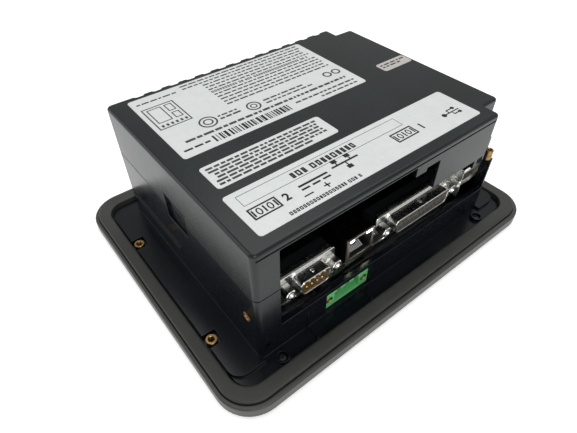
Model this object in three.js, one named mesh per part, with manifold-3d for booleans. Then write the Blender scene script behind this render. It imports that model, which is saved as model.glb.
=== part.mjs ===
// Operator touch panel for a machine: a flat front bezel with a display behind it, and an
// electronics housing with its connectors on the back.
//
// Frame, in millimetres: the panel lies face down. The front face is the plane Z = 0, +Z points out
// of the back, -Y is the side with the connectors and X runs along that side. The origin is the
// middle of the bezel on the front face.

import * as THREE from 'three';
import { mergeVertices } from 'three/addons/utils/BufferGeometryUtils.js';
import Module from 'manifold-3d';

// ---- driving dimensions ----------------------------------------------------------------------

const GAP = 0.3; // clearance between neighbouring mouldings
const SEAT = 0.05; // clearance under a piece that rests on another

const BEZEL = { width: 187, depth: 147, radius: 16, plate: 3.5, rim: 6.2, edge: 1.2 };
const SEAL_SEAT = { halfX: 91.8, halfY: 71.2, radius: 14 };
const SEAL = { halfX: 91.5, halfY: 70.9, radius: 13.7, innerX: 85.7, innerY: 64.5, innerRadius: 9, top: 7.8 };
const OVERLAY = { halfX: 83, halfY: 62, radius: 8, front: 0.25, thickness: 0.7, recess: 1.3 };
const WINDOW = { width: 121, height: 93, radius: 2, centreY: 4 };

const HOUSING = { halfX: 71.4, near: -55.9, far: 57.6, radius: 2.5, wall: 2.5 };
const PARTING = 43; // height of the joint between the two halves of the housing
const TOP = 67.4; // back of the rear cover
const COVER = { skin: 2.6, edge: 1.5 };
const NOTCH = { fromX: 60.5, near: -47.6, far: 49.3, padTop: 37.8, padThickness: 1.6 };

const FLANGE = { halfX: 84.9, halfY: 63.9, radius: 8.4, bottom: 3.8, top: 5.2 };
const SIDE_PLATE = { near: -58.3, far: 52, top: 6.8, radius: 6 };
const PORT_OPENING = { left: -60.5, right: 68.6, sill: 20, rail: 45.5, lipDepth: 0.7, lipHeight: 1.6 };
const EXPANSION_OPENING = { right: 22, top: 63.5, stepX: 13.8, stepTop: 60.5, tabX: 7.2, tabBottom: 58.8 };
const VENT = { pitch: 9, first: -55.5, count: 13, width: 5, depth: 1.9, bottom: 47 };
const CLIP_SLOT = { from: -7.4, to: 9.6, bottom: 36, top: 49, depth: 1.5 };
const CLIP_RAIL = { near: 4.4, end: 4, bottom: 18.3, top: 19.5, proud: 0.8 };
const WALL_HOLE = { x: -67, z: 11.5, radius: 1.7 };
const COVER_POST = { places: [[-60, -46], [-60, 46], [50, 40], [50, -40]], radius: 3.2, bottom: 47 };
const COVER_HEEL = { top: 49.5, reach: 4.4, hollowTop: 48, hollow: 3 };

const BOARD = { halfX: 68.4, near: -47.8, far: 54.4, bottom: 16.3, top: 17.9 };
const POST = { x: 65.6, near: -31, far: 49, radius: 2, hole: 1.35, top: 16.2 };
const DISPLAY = { width: 126, height: 95, bottom: 5.7, top: 14, lip: 1.6, panelInset: 1.9 };
const BRACKET = {
  halfX: 63.3, near: -43.4, far: 53, bottom: 14.3, top: 15.1, hole: { from: 8, to: 48, near: -20, far: 30 },
  stand: { places: [[-56, 46], [56, 46], [0, -34]], radius: 2, top: 16.2 },
};
const RIBBON = { half: 10, sheet: 0.35, from: 51.9, low: 9, bend: 53.4, high: 20.4, end: 48.6 };
const RIBBON_SOCKET = { half: 12, near: 44, far: 49.6, height: 3.6 };
const HEAT_SINK = {
  left: -44, right: -16.6, near: 2, far: 30, bottom: 20.6, base: 22.5, top: 31, fins: 6, fin: 1.4,
};
const BATTERY = { x: 40, y: 22, radius: 10, holder: 12, wall: 5 };
const HEADER = { half: 20, near: -20, far: -12, height: 9, wall: 1.4, floor: 2 };

const SERIAL = { flange: -44.9, nose: -50.6, height: 24, sheet: 0.8, flangeHeight: 12, back: -36 };
const SERIAL_9 = { name: 'serial9', centreX: -38.3, screws: 24.99, flange: 30.8, shell: 16.9, pins: [5, 4] };
const SERIAL_25 = {
  name: 'serial25', centreX: 28.3, screws: 47.04, flange: 52.4, shell: 38.6, pins: [13, 12],
};
const SERIAL_SHELL = { height: 8.4, radius: 2.2, sheet: 0.5 };
const SERIAL_PIN = { pitch: 2.77, row: 1.42, radius: 0.5, socket: 0.6 };
const JACK_SCREW = {
  across: 2.9, length: 5.1, bore: 1.2, boreDepth: 3.6, thread: 1.35, threadEnd: 4.4, hole: 1.6,
};
const NETWORK = { left: -19.2, right: -3.6, front: -48.8, back: -33, top: 33.2, sheet: 0.4 };
const JACK_FRAME = { side: 1.2, bottom: 3, top: 0.9 };
const JACK_MOUTH = { width: 11.8, bottom: 21.6, top: 28.8, depth: 12 };
const JACK_LATCH = { half: 3, rise: 2.2, depth: 9 };
const JACK_LAMP = { offset: 5.3, half: 1.8, bottom: 30.4, top: 32.2, depth: 2.8 };
const JACK_CONTACT = { count: 8, pitch: 1.02, half: 0.2, near: 2.4, high: 1.1 };
const USB = { left: 54.9, right: 68.3, front: -51.4, back: -37, bottom: 18.2, top: 35.9, sheet: 0.4 };
const USB_MOUTH = { floors: [20.9, 28.8], height: 5.2, tongueInset: 1.2, tongueLow: 2.9, tongueHigh: 4.8 };
const POWER = { centreX: -23.4, width: 25.4, front: -54.6, back: -46, bottom: 6.2, top: 15.2, pitch: 5.08 };
const POWER_OPENING = { side: 0.5, below: 0.4, top: 17.9 };
const POWER_SHELF = { side: 1.4, inner: -48.1, bottom: 15.6, top: 16.2 };
const POWER_CAVITY = { end: 0.3, floor: 1.4, roof: 1.6, back: 1.2, keyHalf: 1.1, keyLow: 2.2, keyHigh: 0.7 };
const POWER_PIN = { height: 10.4, radius: 0.5, hole: 0.7, front: 1.2 };
const POWER_NUT = { height: 10.7, radius: 1.8, bore: 1, depth: 4.3 };

const INSERT = { x: 82.4, nearY: -36.4, farY: 31.4, outer: 2.5, inner: 1.3, top: 6.6, pocket: 3.4 };
const SIDE_INSERT = { y: -48.4, z: 26.8, outer: 2.3, inner: 1.3, length: 2.1 };
const STANDOFF = { x: 68.6, inset: 2.6, radius: 2, height: 5.1, bore: 1.1 };
const RIB = { places: [-47, -15.5], wallX: -47, wallTop: 15.3, half: 0.4, rise: 0.7, end: 0.6 };
const BOSS = { x: 64.2, y: 60.9, radius: 3, bore: 2.1, top: 7, shank: 1.3, screw: 1 };

// ---- finishes --------------------------------------------------------------------------------

function finish(color, roughness, metalness) {
  return new THREE.MeshStandardMaterial({ color, roughness, metalness });
}

const FINISH = {
  bezel: finish(0x4b4c4d, 0.55, 0),
  cover: finish(0x6a6e70, 0.35, 0),
  housing: finish(0x3f4449, 0.4, 0),
  rubber: finish(0x5d5c5a, 0.8, 0),
  overlay: finish(0x202326, 0.35, 0),
  glass: finish(0x9fb0b8, 0.08, 0),
  steel: finish(0xb9bcbf, 0.3, 1),
  zinc: finish(0x9a9d9f, 0.4, 1),
  board: finish(0x1f4a36, 0.5, 0),
  black: finish(0x17191b, 0.45, 0),
  cream: finish(0xd8d2bd, 0.5, 0),
  gold: finish(0xd0a24a, 0.3, 1),
  brass: finish(0xb98d45, 0.35, 1),
  green: finish(0x4f9d63, 0.4, 0),
  lamp: finish(0x8fdc8a, 0.25, 0),
  label: finish(0xf1f2f2, 0.4, 0),
  silver: finish(0xc9c3b8, 0.35, 0),
  aluminium: finish(0x8d9094, 0.4, 1),
  screw: finish(0x303236, 0.4, 1),
};

// ---- solids ----------------------------------------------------------------------------------

const wasm = await Module();
wasm.setup();

function toSolid(geometry) {
  geometry.deleteAttribute('normal');
  geometry.deleteAttribute('uv');
  const merged = mergeVertices(geometry, 1e-4);
  return new wasm.Manifold(new wasm.Mesh({
    numProp: 3,
    vertProperties: new Float32Array(merged.attributes.position.array),
    triVerts: new Uint32Array(merged.index.array),
  }));
}

function toGeometry(solid) {
  const mesh = solid.getMesh();
  const geometry = new THREE.BufferGeometry();
  geometry.setAttribute('position', new THREE.BufferAttribute(mesh.vertProperties, 3));
  geometry.setIndex(new THREE.BufferAttribute(mesh.triVerts, 1));
  geometry.computeVertexNormals();
  return geometry;
}

const join = (first, ...others) => others.reduce((sum, solid) => sum.add(solid), first);
const cut = (first, ...others) => others.reduce((rest, solid) => rest.subtract(solid), first);

function block(x0, x1, y0, y1, z0, z1) {
  const box = new THREE.BoxGeometry(x1 - x0, y1 - y0, z1 - z0);
  return toSolid(box.translate((x0 + x1) / 2, (y0 + y1) / 2, (z0 + z1) / 2));
}

// A closed outline whose corners [x, y, radius] are rounded with arcs.
function outline(corners, steps = 5) {
  const points = [];
  corners.forEach(([x, y, radius], i) => {
    const corner = new THREE.Vector2(x, y);
    if (!radius) {
      points.push(corner);
      return;
    }
    const [beforeX, beforeY] = corners[(i + corners.length - 1) % corners.length];
    const [afterX, afterY] = corners[(i + 1) % corners.length];
    const back = new THREE.Vector2(beforeX, beforeY).sub(corner).normalize();
    const ahead = new THREE.Vector2(afterX, afterY).sub(corner).normalize();
    const half = Math.acos(back.dot(ahead)) / 2;
    const centre = back.clone().add(ahead).normalize().multiplyScalar(radius / Math.sin(half)).add(corner);
    const start = back.clone().multiplyScalar(radius / Math.tan(half)).add(corner).sub(centre);
    const end = ahead.clone().multiplyScalar(radius / Math.tan(half)).add(corner).sub(centre);
    const sweep = Math.atan2(start.cross(end), start.dot(end));
    for (let step = 0; step <= steps; step += 1) {
      const turned = start.clone().rotateAround(new THREE.Vector2(), (sweep * step) / steps);
      points.push(turned.add(centre));
    }
  });
  return new THREE.Shape(points);
}

function rectangle(x0, x1, y0, y1, radius, steps) {
  return outline([[x0, y0, radius], [x1, y0, radius], [x1, y1, radius], [x0, y1, radius]], steps);
}

// An outline in X and Y raised from z0 to z1.
function slab(shape, z0, z1) {
  const geometry = new THREE.ExtrudeGeometry(shape, { depth: z1 - z0, bevelEnabled: false });
  return toSolid(geometry.translate(0, 0, z0));
}

// A slab whose edges are rounded at the top, the bottom or both.
function softSlab(shape, z0, z1, radius, ends = 'both') {
  const low = ends === 'top' ? z0 - radius : z0;
  const geometry = new THREE.ExtrudeGeometry(shape, {
    depth: z1 - low - 2 * radius,
    bevelThickness: radius,
    bevelSize: radius,
    bevelOffset: -radius,
    bevelSegments: 3,
  });
  const solid = toSolid(geometry.translate(0, 0, low + radius));
  const reach = 200;
  return ends === 'top' ? cut(solid, block(-reach, reach, -reach, reach, low - 1, z0)) : solid;
}

// An outline in X and Z, carried along Y from y0 to y1.
function slabY(shape, y0, y1) {
  const geometry = new THREE.ExtrudeGeometry(shape, { depth: y1 - y0, bevelEnabled: false });
  return toSolid(geometry.rotateX(Math.PI / 2).translate(0, y1, 0));
}

function disc(x, y, radius, z0, z1, sides = 20) {
  const geometry = new THREE.CylinderGeometry(radius, radius, z1 - z0, sides);
  return toSolid(geometry.rotateX(Math.PI / 2).translate(x, y, (z0 + z1) / 2));
}

function rodY(x, z, radius, y0, y1, sides = 16) {
  const geometry = new THREE.CylinderGeometry(radius, radius, y1 - y0, sides);
  return toSolid(geometry.translate(x, (y0 + y1) / 2, z));
}

function rodX(y, z, radius, x0, x1, sides = 16) {
  const geometry = new THREE.CylinderGeometry(radius, radius, x1 - x0, sides);
  return toSolid(geometry.rotateZ(Math.PI / 2).translate((x0 + x1) / 2, y, z));
}

const panel = new THREE.Group();

function piece(name, solid, material) {
  const mesh = new THREE.Mesh(toGeometry(solid), material);
  mesh.name = name;
  panel.add(mesh);
}

// ---- front: bezel, overlay, touch glass, display ---------------------------------------------

const bossPlaces = [[-1, -1], [1, -1], [-1, 1], [1, 1]].map(([sx, sy]) => [sx * BOSS.x, sy * BOSS.y]);
const windowShape = (grow, radius = WINDOW.radius) => rectangle(
  -WINDOW.width / 2 - grow,
  WINDOW.width / 2 + grow,
  WINDOW.centreY - WINDOW.height / 2 - grow,
  WINDOW.centreY + WINDOW.height / 2 + grow,
  radius,
  2,
);

function frontBezel() {
  const { width, depth, radius, rim, edge, plate } = BEZEL;
  const body = softSlab(rectangle(-width / 2, width / 2, -depth / 2, depth / 2, radius, 8), 0, rim, edge);
  const { halfX, halfY } = SEAL_SEAT;
  const seat = slab(rectangle(-halfX, halfX, -halfY, halfY, SEAL_SEAT.radius, 8), plate, rim + 1);
  const { halfX: faceX, halfY: faceY, radius: faceRadius, recess: recessDepth } = OVERLAY;
  const recess = slab(rectangle(-faceX, faceX, -faceY, faceY, faceRadius), -1, recessDepth);
  const screwHoles = bossPlaces.map(([x, y]) => disc(x, y, BOSS.shank, 1.9, plate + 1, 12));
  return cut(body, seat, recess, slab(windowShape(0), -1, plate + 1), ...screwHoles);
}

function frontOverlay() {
  const { halfX, halfY, radius, front, thickness } = OVERLAY;
  const x = halfX - GAP;
  const y = halfY - GAP;
  return slab(rectangle(-x, x, -y, y, radius - GAP), front, front + thickness);
}

function displayFrame() {
  const { width, height, bottom, top, lip } = DISPLAY;
  const low = WINDOW.centreY - height / 2;
  const can = block(-width / 2, width / 2, low, low + height, bottom, top);
  const inside = width / 2 - lip;
  const well = block(-inside, inside, low + lip, low + height - lip, bottom - 1, bottom + 2.3);
  return cut(can, well);
}

function displayPanel() {
  const { width, height, bottom, panelInset: inset } = DISPLAY;
  const low = WINDOW.centreY - height / 2;
  return block(-width / 2 + inset, width / 2 - inset, low + inset, low + height - inset, bottom, bottom + 2);
}

function displayBracket() {
  const { halfX, near, far, bottom, top, hole, stand } = BRACKET;
  const plate = block(-halfX, halfX, near, far, bottom, top);
  const lighten = (x0, x1) => block(x0, x1, hole.near, hole.far, bottom - 1, top + 1);
  const stands = stand.places.map(([x, y]) => disc(x, y, stand.radius, top - 0.1, stand.top, 12));
  return join(cut(plate, lighten(-hole.to, -hole.from), lighten(hole.from, hole.to)), ...stands);
}

piece('front_bezel', frontBezel(), FINISH.bezel);
piece('front_overlay', frontOverlay(), FINISH.overlay);
piece('touch_glass', slab(windowShape(2.6), BEZEL.plate + SEAT, 5.4), FINISH.glass);
piece('display_frame', displayFrame(), FINISH.zinc);
piece('display_panel', displayPanel(), FINISH.black);
piece('display_bracket', displayBracket(), FINISH.zinc);

// ---- seal ------------------------------------------------------------------------------------

function panelGasket() {
  const { halfX, halfY, radius, innerX, innerY, innerRadius, top } = SEAL;
  const low = BEZEL.plate + SEAT;
  const ring = softSlab(rectangle(-halfX, halfX, -halfY, halfY, radius, 8), low, top, 0.5, 'top');
  return cut(ring, slab(rectangle(-innerX, innerX, -innerY, innerY, innerRadius, 6), low - 1, top + 1));
}

piece('panel_gasket', panelGasket(), FINISH.rubber);

// ---- lower half of the housing ---------------------------------------------------------------

function housingOutline(inset) {
  const { halfX, near, far, radius } = HOUSING;
  const r = Math.max(radius - inset, 0.4);
  return rectangle(-halfX + inset, halfX - inset, near + inset, far - inset, r, 4);
}

// The rear cover leaves a step free at both corners of its right-hand end.
function coverOutline(inset) {
  const { halfX, near, far, radius } = HOUSING;
  const r = Math.max(radius - inset, 0.4);
  const tight = Math.max(2 - inset, 0.5);
  return outline([
    [-halfX + inset, near + inset, r],
    [NOTCH.fromX - inset, near + inset, tight],
    [NOTCH.fromX - inset, NOTCH.near + inset, 0],
    [halfX - inset, NOTCH.near + inset, tight],
    [halfX - inset, NOTCH.far - inset, tight],
    [NOTCH.fromX - inset, NOTCH.far - inset, 0],
    [NOTCH.fromX - inset, far - inset, tight],
    [-halfX + inset, far - inset, r],
  ], 4);
}

function sidePlate(side) {
  const { near, far, top, radius } = SIDE_PLATE;
  const inner = side * (HOUSING.halfX - 1);
  const outer = side * FLANGE.halfX;
  const edge = outline([[inner, near, 0], [outer, near, radius], [outer, far, radius], [inner, far, 0]]);
  const plate = slab(edge, FLANGE.bottom, top);
  const pocket = (y) => block(
    Math.min(side * (INSERT.x - INSERT.pocket), side * 90),
    Math.max(side * (INSERT.x - INSERT.pocket), side * 90),
    y - INSERT.pocket,
    y + INSERT.pocket,
    FLANGE.bottom - 1,
    top + 1,
  );
  return cut(plate, pocket(INSERT.nearY), pocket(INSERT.farY));
}

function mainHousing() {
  const { bottom, top } = FLANGE;
  const { halfX, near, far, wall } = HOUSING;
  const rimTop = PARTING - GAP / 2;
  const pad = (y0, y1) => block(
    NOTCH.fromX - wall, halfX, y0, y1, NOTCH.padTop - NOTCH.padThickness, NOTCH.padTop);
  const cornerBox = (y0, y1) => block(NOTCH.fromX, halfX + 5, y0, y1, NOTCH.padTop, PARTING + 5);

  const flange = slab(
    rectangle(-FLANGE.halfX, FLANGE.halfX, -FLANGE.halfY, FLANGE.halfY, FLANGE.radius), bottom, top);
  const insertPockets = [-1, 1].flatMap((side) => [INSERT.nearY, INSERT.farY].map((y) => {
    const x = side * INSERT.x;
    const p = INSERT.pocket;
    return block(x - (side < 0 ? 9 : p), x + (side < 0 ? p : 9), y - p, y + p, bottom - 1, top + 1);
  }));
  const inside = slab(housingOutline(wall), bottom - 1, rimTop + 1);
  const shell = cut(slab(housingOutline(0), bottom, rimTop), inside);

  const bosses = bossPlaces.map(([x, y]) => disc(x, y, BOSS.radius, bottom, BOSS.top));
  const bossBores = bossPlaces.flatMap(([x, y]) => [
    disc(x, y, BOSS.bore, top, BOSS.top + 1),
    disc(x, y, BOSS.shank, bottom - 1, top + 1, 12),
  ]);
  const postPlaces = [-POST.x, POST.x].flatMap((x) => [[x, POST.near], [x, POST.far]]);
  const posts = postPlaces.map(([x, y]) => join(
    disc(x, y, POST.radius, bottom, POST.top, 12),
    block(Math.min(x, Math.sign(x) * 70), Math.max(x, Math.sign(x) * 70), y - 1, y + 1, bottom, POST.top),
  ));
  const postBores = postPlaces.map(([x, y]) => disc(x, y, POST.hole, 8, POST.top + 1, 12));
  const floorRibs = RIB.places.map((x) => block(
    x - RIB.half, x + RIB.half, -FLANGE.halfY + RIB.end, near + 1, bottom, top + RIB.rise));
  const wallRib = block(
    RIB.wallX - RIB.half, RIB.wallX + RIB.half, near - RIB.end, near + 1, bottom, RIB.wallTop);
  const clipRail = block(-halfX - CLIP_RAIL.proud, -halfX + 1, CLIP_RAIL.near, far - CLIP_RAIL.end,
    CLIP_RAIL.bottom, CLIP_RAIL.top);

  const { left, right, sill, lipDepth, lipHeight } = PORT_OPENING;
  const ports = block(left, right, near - 2, near + wall + 0.5, sill, PARTING + 5);
  const sillLip = block(left, right, near + wall - 0.5, near + wall + lipDepth, sill - lipHeight, sill);
  const halfPower = POWER.width / 2 + POWER_OPENING.side;
  const power = block(POWER.centreX - halfPower, POWER.centreX + halfPower,
    near - 2, near + wall + 0.5, POWER.bottom - POWER_OPENING.below, POWER_OPENING.top);
  const clip = (side) => block(
    Math.min(side * (halfX - CLIP_SLOT.depth), side * (halfX + 2)),
    Math.max(side * (halfX - CLIP_SLOT.depth), side * (halfX + 2)),
    CLIP_SLOT.from, CLIP_SLOT.to, CLIP_SLOT.bottom, PARTING + 5);
  const halfShelf = halfPower + POWER_SHELF.side;
  const shelf = block(POWER.centreX - halfShelf, POWER.centreX + halfShelf, near + wall - 0.5, POWER_SHELF.inner,
    POWER_SHELF.bottom, POWER_SHELF.top);
  const insertHole = (side) => rodX(SIDE_INSERT.y, SIDE_INSERT.z, SIDE_INSERT.outer + 0.1,
    Math.min(side * 67, side * 73), Math.max(side * 67, side * 73), 20);
  const wallHole = rodY(WALL_HOLE.x, WALL_HOLE.z, WALL_HOLE.radius, near - 1, near + wall + 1, 14);

  const opened = cut(
    shell,
    cornerBox(near - 5, NOTCH.near),
    cornerBox(NOTCH.far, far + 5),
    ports,
    power,
    clip(-1),
    clip(1),
    insertHole(-1),
    insertHole(1),
    wallHole,
  );
  const nearNotch = join(
    pad(near, NOTCH.near + wall),
    block(NOTCH.fromX - wall, halfX, NOTCH.near, NOTCH.near + wall, NOTCH.padTop - 1, rimTop),
    block(NOTCH.fromX - wall, NOTCH.fromX, near, NOTCH.near + wall, NOTCH.padTop - 1, rimTop),
  );
  const farNotch = join(
    pad(NOTCH.far - wall, far),
    block(NOTCH.fromX - wall, halfX, NOTCH.far - wall, NOTCH.far, NOTCH.padTop - 1, rimTop),
    block(NOTCH.fromX - wall, NOTCH.fromX, NOTCH.far - wall, far, NOTCH.padTop - 1, rimTop),
  );
  const base = cut(join(flange, sidePlate(-1), sidePlate(1), ...bosses), ...bossBores, ...insertPockets);
  const whole = join(base, opened, nearNotch, farNotch, ...posts, ...floorRibs, wallRib, clipRail,
    sillLip, shelf);
  return cut(whole, ...postBores, slab(windowShape(3.4), bottom - 1, top + 1));
}

piece('main_housing', mainHousing(), FINISH.housing);

// ---- rear cover ------------------------------------------------------------------------------

function rearCover() {
  const { halfX, near, far, wall } = HOUSING;
  const low = PARTING + GAP / 2;
  const shell = cut(
    softSlab(coverOutline(0), low, TOP, COVER.edge, 'top'),
    slab(coverOutline(wall), low - 1, TOP - COVER.skin),
  );
  const { right, top, stepX, stepTop, tabX, tabBottom } = EXPANSION_OPENING;
  const front = [near - 2, near + wall + 0.5];
  const expansion = slabY(outline([
    [PORT_OPENING.left, low - 1, 0],
    [right, low - 1, 0],
    [right, stepTop, 0],
    [stepX, stepTop, 0],
    [stepX, tabBottom, 0],
    [tabX, tabBottom, 0],
    [tabX, top, 0],
    [PORT_OPENING.left, top, 0],
  ]), ...front);
  const rail = block(right - 1, NOTCH.fromX - wall, ...front, low - 1, PORT_OPENING.rail);
  const groove = block(-halfX + 2, NOTCH.fromX - 1.5, near - 1, near + 0.5, top + 0.5, top + 1.2);
  const vents = Array.from({ length: VENT.count }, (_, i) => {
    const x = VENT.first + i * VENT.pitch;
    return block(x - VENT.width / 2, x + VENT.width / 2, far - VENT.depth, far + 1, VENT.bottom, TOP + 1);
  });
  const ventHoles = Array.from({ length: VENT.count }, (_, i) => {
    const x = VENT.first + i * VENT.pitch;
    const half = VENT.width / 2 - 1.2;
    return block(x - half, x + half, far - wall - 1, far - 1, VENT.bottom + 2, TOP - COVER.skin - 2);
  });
  const clip = (side) => block(
    Math.min(side * (halfX - CLIP_SLOT.depth), side * (halfX + 2)),
    Math.max(side * (halfX - CLIP_SLOT.depth), side * (halfX + 2)),
    CLIP_SLOT.from, CLIP_SLOT.to, low - 1, CLIP_SLOT.top);
  const heel = block(NOTCH.fromX - wall, halfX, NOTCH.near - COVER_HEEL.reach, NOTCH.near + 0.5,
    low, COVER_HEEL.top);
  const hollow = block(NOTCH.fromX, halfX - wall, NOTCH.near - COVER_HEEL.hollow, NOTCH.near + 1,
    low - 1, COVER_HEEL.hollowTop);
  const posts = COVER_POST.places.map(
    ([x, y]) => disc(x, y, COVER_POST.radius, COVER_POST.bottom, TOP - COVER.skin + 0.5, 14));
  const opened = cut(shell, expansion, rail, groove, ...vents, ...ventHoles, clip(-1), clip(1));
  return cut(join(opened, heel, ...posts), hollow);
}

piece('rear_cover', rearCover(), FINISH.cover);

const LABELS = [
  ['rating_label', -63, 35.6, 0.5, 53.2, 'label'],
  ['notice_label', -62.1, -3.4, -22.4, -7.8, 'label'],
  ['port_label', -64, 54, -50.4, -26.9, 'label'],
  ['serial_label', 49.8, 69.3, 1.3, 9, 'silver'],
];
LABELS.forEach(([name, x0, x1, y0, y1, kind]) => {
  piece(name, slab(rectangle(x0, x1, y0, y1, 1.5, 3), TOP + SEAT, TOP + SEAT + 0.2), FINISH[kind]);
});

// ---- main board and what stands on it ----------------------------------------------------------

function mainBoard() {
  const { halfX, near, far, bottom, top } = BOARD;
  const holes = [-POST.x, POST.x].flatMap((x) => [POST.near, POST.far].map(
    (y) => disc(x, y, POST.hole, bottom - 1, top + 1, 12)));
  const ribbonGap = block(-RIBBON.half - 2, RIBBON.half + 2, far - 2.4, far + 1, bottom - 1, top + 1);
  return cut(block(-halfX, halfX, near, far, bottom, top), ribbonGap, ...holes);
}

function boardScrew(x, y) {
  const head = BOARD.top + SEAT;
  return join(disc(x, y, 2.4, head, head + 1.6, 14), disc(x, y, 1.1, 9, head + 0.5, 10));
}

function heatSink() {
  const { left, right, near, far, bottom, base, top, fins, fin } = HEAT_SINK;
  const pitch = (right - left - fin) / (fins - 1);
  const upright = Array.from({ length: fins }, (_, i) => block(
    left + i * pitch, left + i * pitch + fin, near, far, base - 0.5, top));
  return join(block(left, right, near, far, bottom, base), ...upright);
}

function batteryHolder() {
  const floor = BOARD.top + SEAT;
  const { x, y, radius, holder, wall } = BATTERY;
  const well = disc(x, y, radius + GAP, floor + 1, floor + wall + 1, 24);
  const side = block(x + 6, x + 20, y - 7, y + 7, floor + 1, floor + wall + 1);
  return cut(disc(x, y, holder, floor, floor + wall, 24), well, side);
}

function displayRibbon() {
  const { half, sheet, from, low, bend, high, end } = RIBBON;
  const run = (y0, y1, z0, z1) => block(-half, half, y0, y1, z0, z1);
  return join(
    run(from, bend, low, low + sheet),
    run(bend - sheet, bend, low, high),
    run(end, bend, high - sheet, high),
  );
}

function ribbonSocket() {
  const floor = BOARD.top + SEAT;
  const { half, near, far, height } = RIBBON_SOCKET;
  const slot = block(-RIBBON.half - 0.4, RIBBON.half + 0.4, far - 1.6, far + 1, floor + 1.6, floor + 2.8);
  return cut(block(-half, half, near, far, floor, floor + height), slot);
}

function expansionHeader() {
  const floor = BOARD.top + SEAT;
  const { half, near, far, height, wall, floor: thickness } = HEADER;
  const inside = block(-half + wall, half - wall, near + wall, far - wall,
    floor + thickness, floor + height + 1);
  return cut(block(-half, half, near, far, floor, floor + height), inside);
}

const chip = (x, y, halfX, halfY, height) => block(
  x - halfX, x + halfX, y - halfY, y + halfY, BOARD.top + SEAT, BOARD.top + SEAT + height);

piece('main_board', mainBoard(), FINISH.board);
[[-1, 'near'], [1, 'near'], [-1, 'far'], [1, 'far']].forEach(([side, row], i) => {
  piece(`board_screw_${i + 1}`, boardScrew(side * POST.x, POST[row]), FINISH.steel);
});
piece('processor', chip(-30.3, 16, 13.5, 13.5, 2.4), FINISH.black);
piece('heat_sink', heatSink(), FINISH.aluminium);
piece('memory_chip', chip(4, 8, 9, 5.5, 1.2), FINISH.black);
piece('power_capacitor', disc(-54, -20, 5, BOARD.top + SEAT, 31, 18), FINISH.black);
piece('backup_battery', disc(BATTERY.x, BATTERY.y, BATTERY.radius, BOARD.top + 1.1, BOARD.top + 4.3, 24),
  FINISH.steel);
piece('battery_holder', batteryHolder(), FINISH.black);
piece('display_ribbon', displayRibbon(), FINISH.cream);
piece('ribbon_socket', ribbonSocket(), FINISH.cream);
piece('expansion_header', expansionHeader(), FINISH.black);

// ---- serial ports ------------------------------------------------------------------------------

// The D-shaped outline of a serial connector, in X and Z, wide side up.
function dOutline(centreX, topWidth, height, radius) {
  const lean = height * Math.tan(THREE.MathUtils.degToRad(10));
  const { height: z } = SERIAL;
  return outline([
    [centreX - topWidth / 2 + lean, z - height / 2, radius],
    [centreX + topWidth / 2 - lean, z - height / 2, radius],
    [centreX + topWidth / 2, z + height / 2, radius],
    [centreX - topWidth / 2, z + height / 2, radius],
  ], 3);
}

function serialShell(port) {
  const { flange, nose, height, sheet, flangeHeight } = SERIAL;
  const x = port.centreX;
  const plate = slabY(rectangle(x - port.flange / 2, x + port.flange / 2, height - flangeHeight / 2,
    height + flangeHeight / 2, 1.5, 2), flange, flange + sheet);
  const { height: tall, radius, sheet: skin } = SERIAL_SHELL;
  const tube = slabY(dOutline(x, port.shell, tall, radius), nose, flange + 0.1);
  const bore = slabY(dOutline(x, port.shell - 2 * skin, tall - 2 * skin, radius - 0.4), nose - 1, flange + 1);
  const screws = [-1, 1].map((side) => rodY(x + (side * port.screws) / 2, height, JACK_SCREW.hole,
    flange - 1, flange + 1));
  return cut(join(plate, tube), bore, ...screws);
}

function pinPlaces(port) {
  return port.pins.flatMap((count, row) => Array.from({ length: count }, (_, i) => [
    port.centreX + (i - (count - 1) / 2) * SERIAL_PIN.pitch,
    SERIAL.height + (row ? -SERIAL_PIN.row : SERIAL_PIN.row),
  ]));
}

function serialInsert(port, hasPins) {
  const { flange, nose, back, height, sheet, flangeHeight } = SERIAL;
  const x = port.centreX;
  const face = hasPins ? flange - 1 : nose + 0.4;
  const core = slabY(dOutline(x, port.shell - 1.4, SERIAL_SHELL.height - 1.4, 1.6), face, flange + sheet + 1);
  const body = block(x - port.flange / 2 + 0.6, x + port.flange / 2 - 0.6, flange + sheet + SEAT, back,
    height - flangeHeight / 2 + 0.1, height + flangeHeight / 2 - 1);
  const nuts = [-1, 1].map((side) => rodY(x + (side * port.screws) / 2, height, JACK_SCREW.hole - 0.1,
    flange, flange + JACK_SCREW.threadEnd + 0.6, 12));
  const pins = pinPlaces(port).map(([px, pz]) => (hasPins
    ? rodY(px, pz, SERIAL_PIN.radius, nose + 0.8, face + 0.5, 8)
    : rodY(px, pz, SERIAL_PIN.socket, face - 1, face + 2.4, 6)));
  return hasPins ? join(cut(join(core, body), ...nuts), ...pins) : cut(join(core, body), ...nuts, ...pins);
}

function jackScrew(x) {
  const { flange, height } = SERIAL;
  const { across, length, bore, boreDepth, thread, threadEnd } = JACK_SCREW;
  const front = flange - length;
  const hex = rodY(x, height, across, front, flange - SEAT, 6);
  const stud = rodY(x, height, thread, flange - SEAT - 0.5, flange + threadEnd, 10);
  return cut(join(hex, stud), rodY(x, height, bore, front - 1, front + boreDepth, 10));
}

[SERIAL_9, SERIAL_25].forEach((port) => {
  piece(`${port.name}_shell`, serialShell(port), FINISH.steel);
  piece(`${port.name}_insert`, serialInsert(port, port === SERIAL_9), FINISH.black);
  [-1, 1].forEach((side, i) => {
    const x = port.centreX + (side * port.screws) / 2;
    piece(`${port.name}_jack_screw_${i + 1}`, jackScrew(x), FINISH.steel);
  });
});

// ---- network jack ------------------------------------------------------------------------------

function networkShell() {
  const { left, right, front, back, top, sheet } = NETWORK;
  const { side, bottom, top: above } = JACK_FRAME;
  const floor = BOARD.top + SEAT;
  return cut(
    block(left, right, front, back, floor, top),
    block(left + sheet, right - sheet, front + sheet, back - sheet, floor - 1, top - sheet),
    block(left + side, right - side, front - 1, front + 1, floor + bottom, top - above),
  );
}

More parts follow.
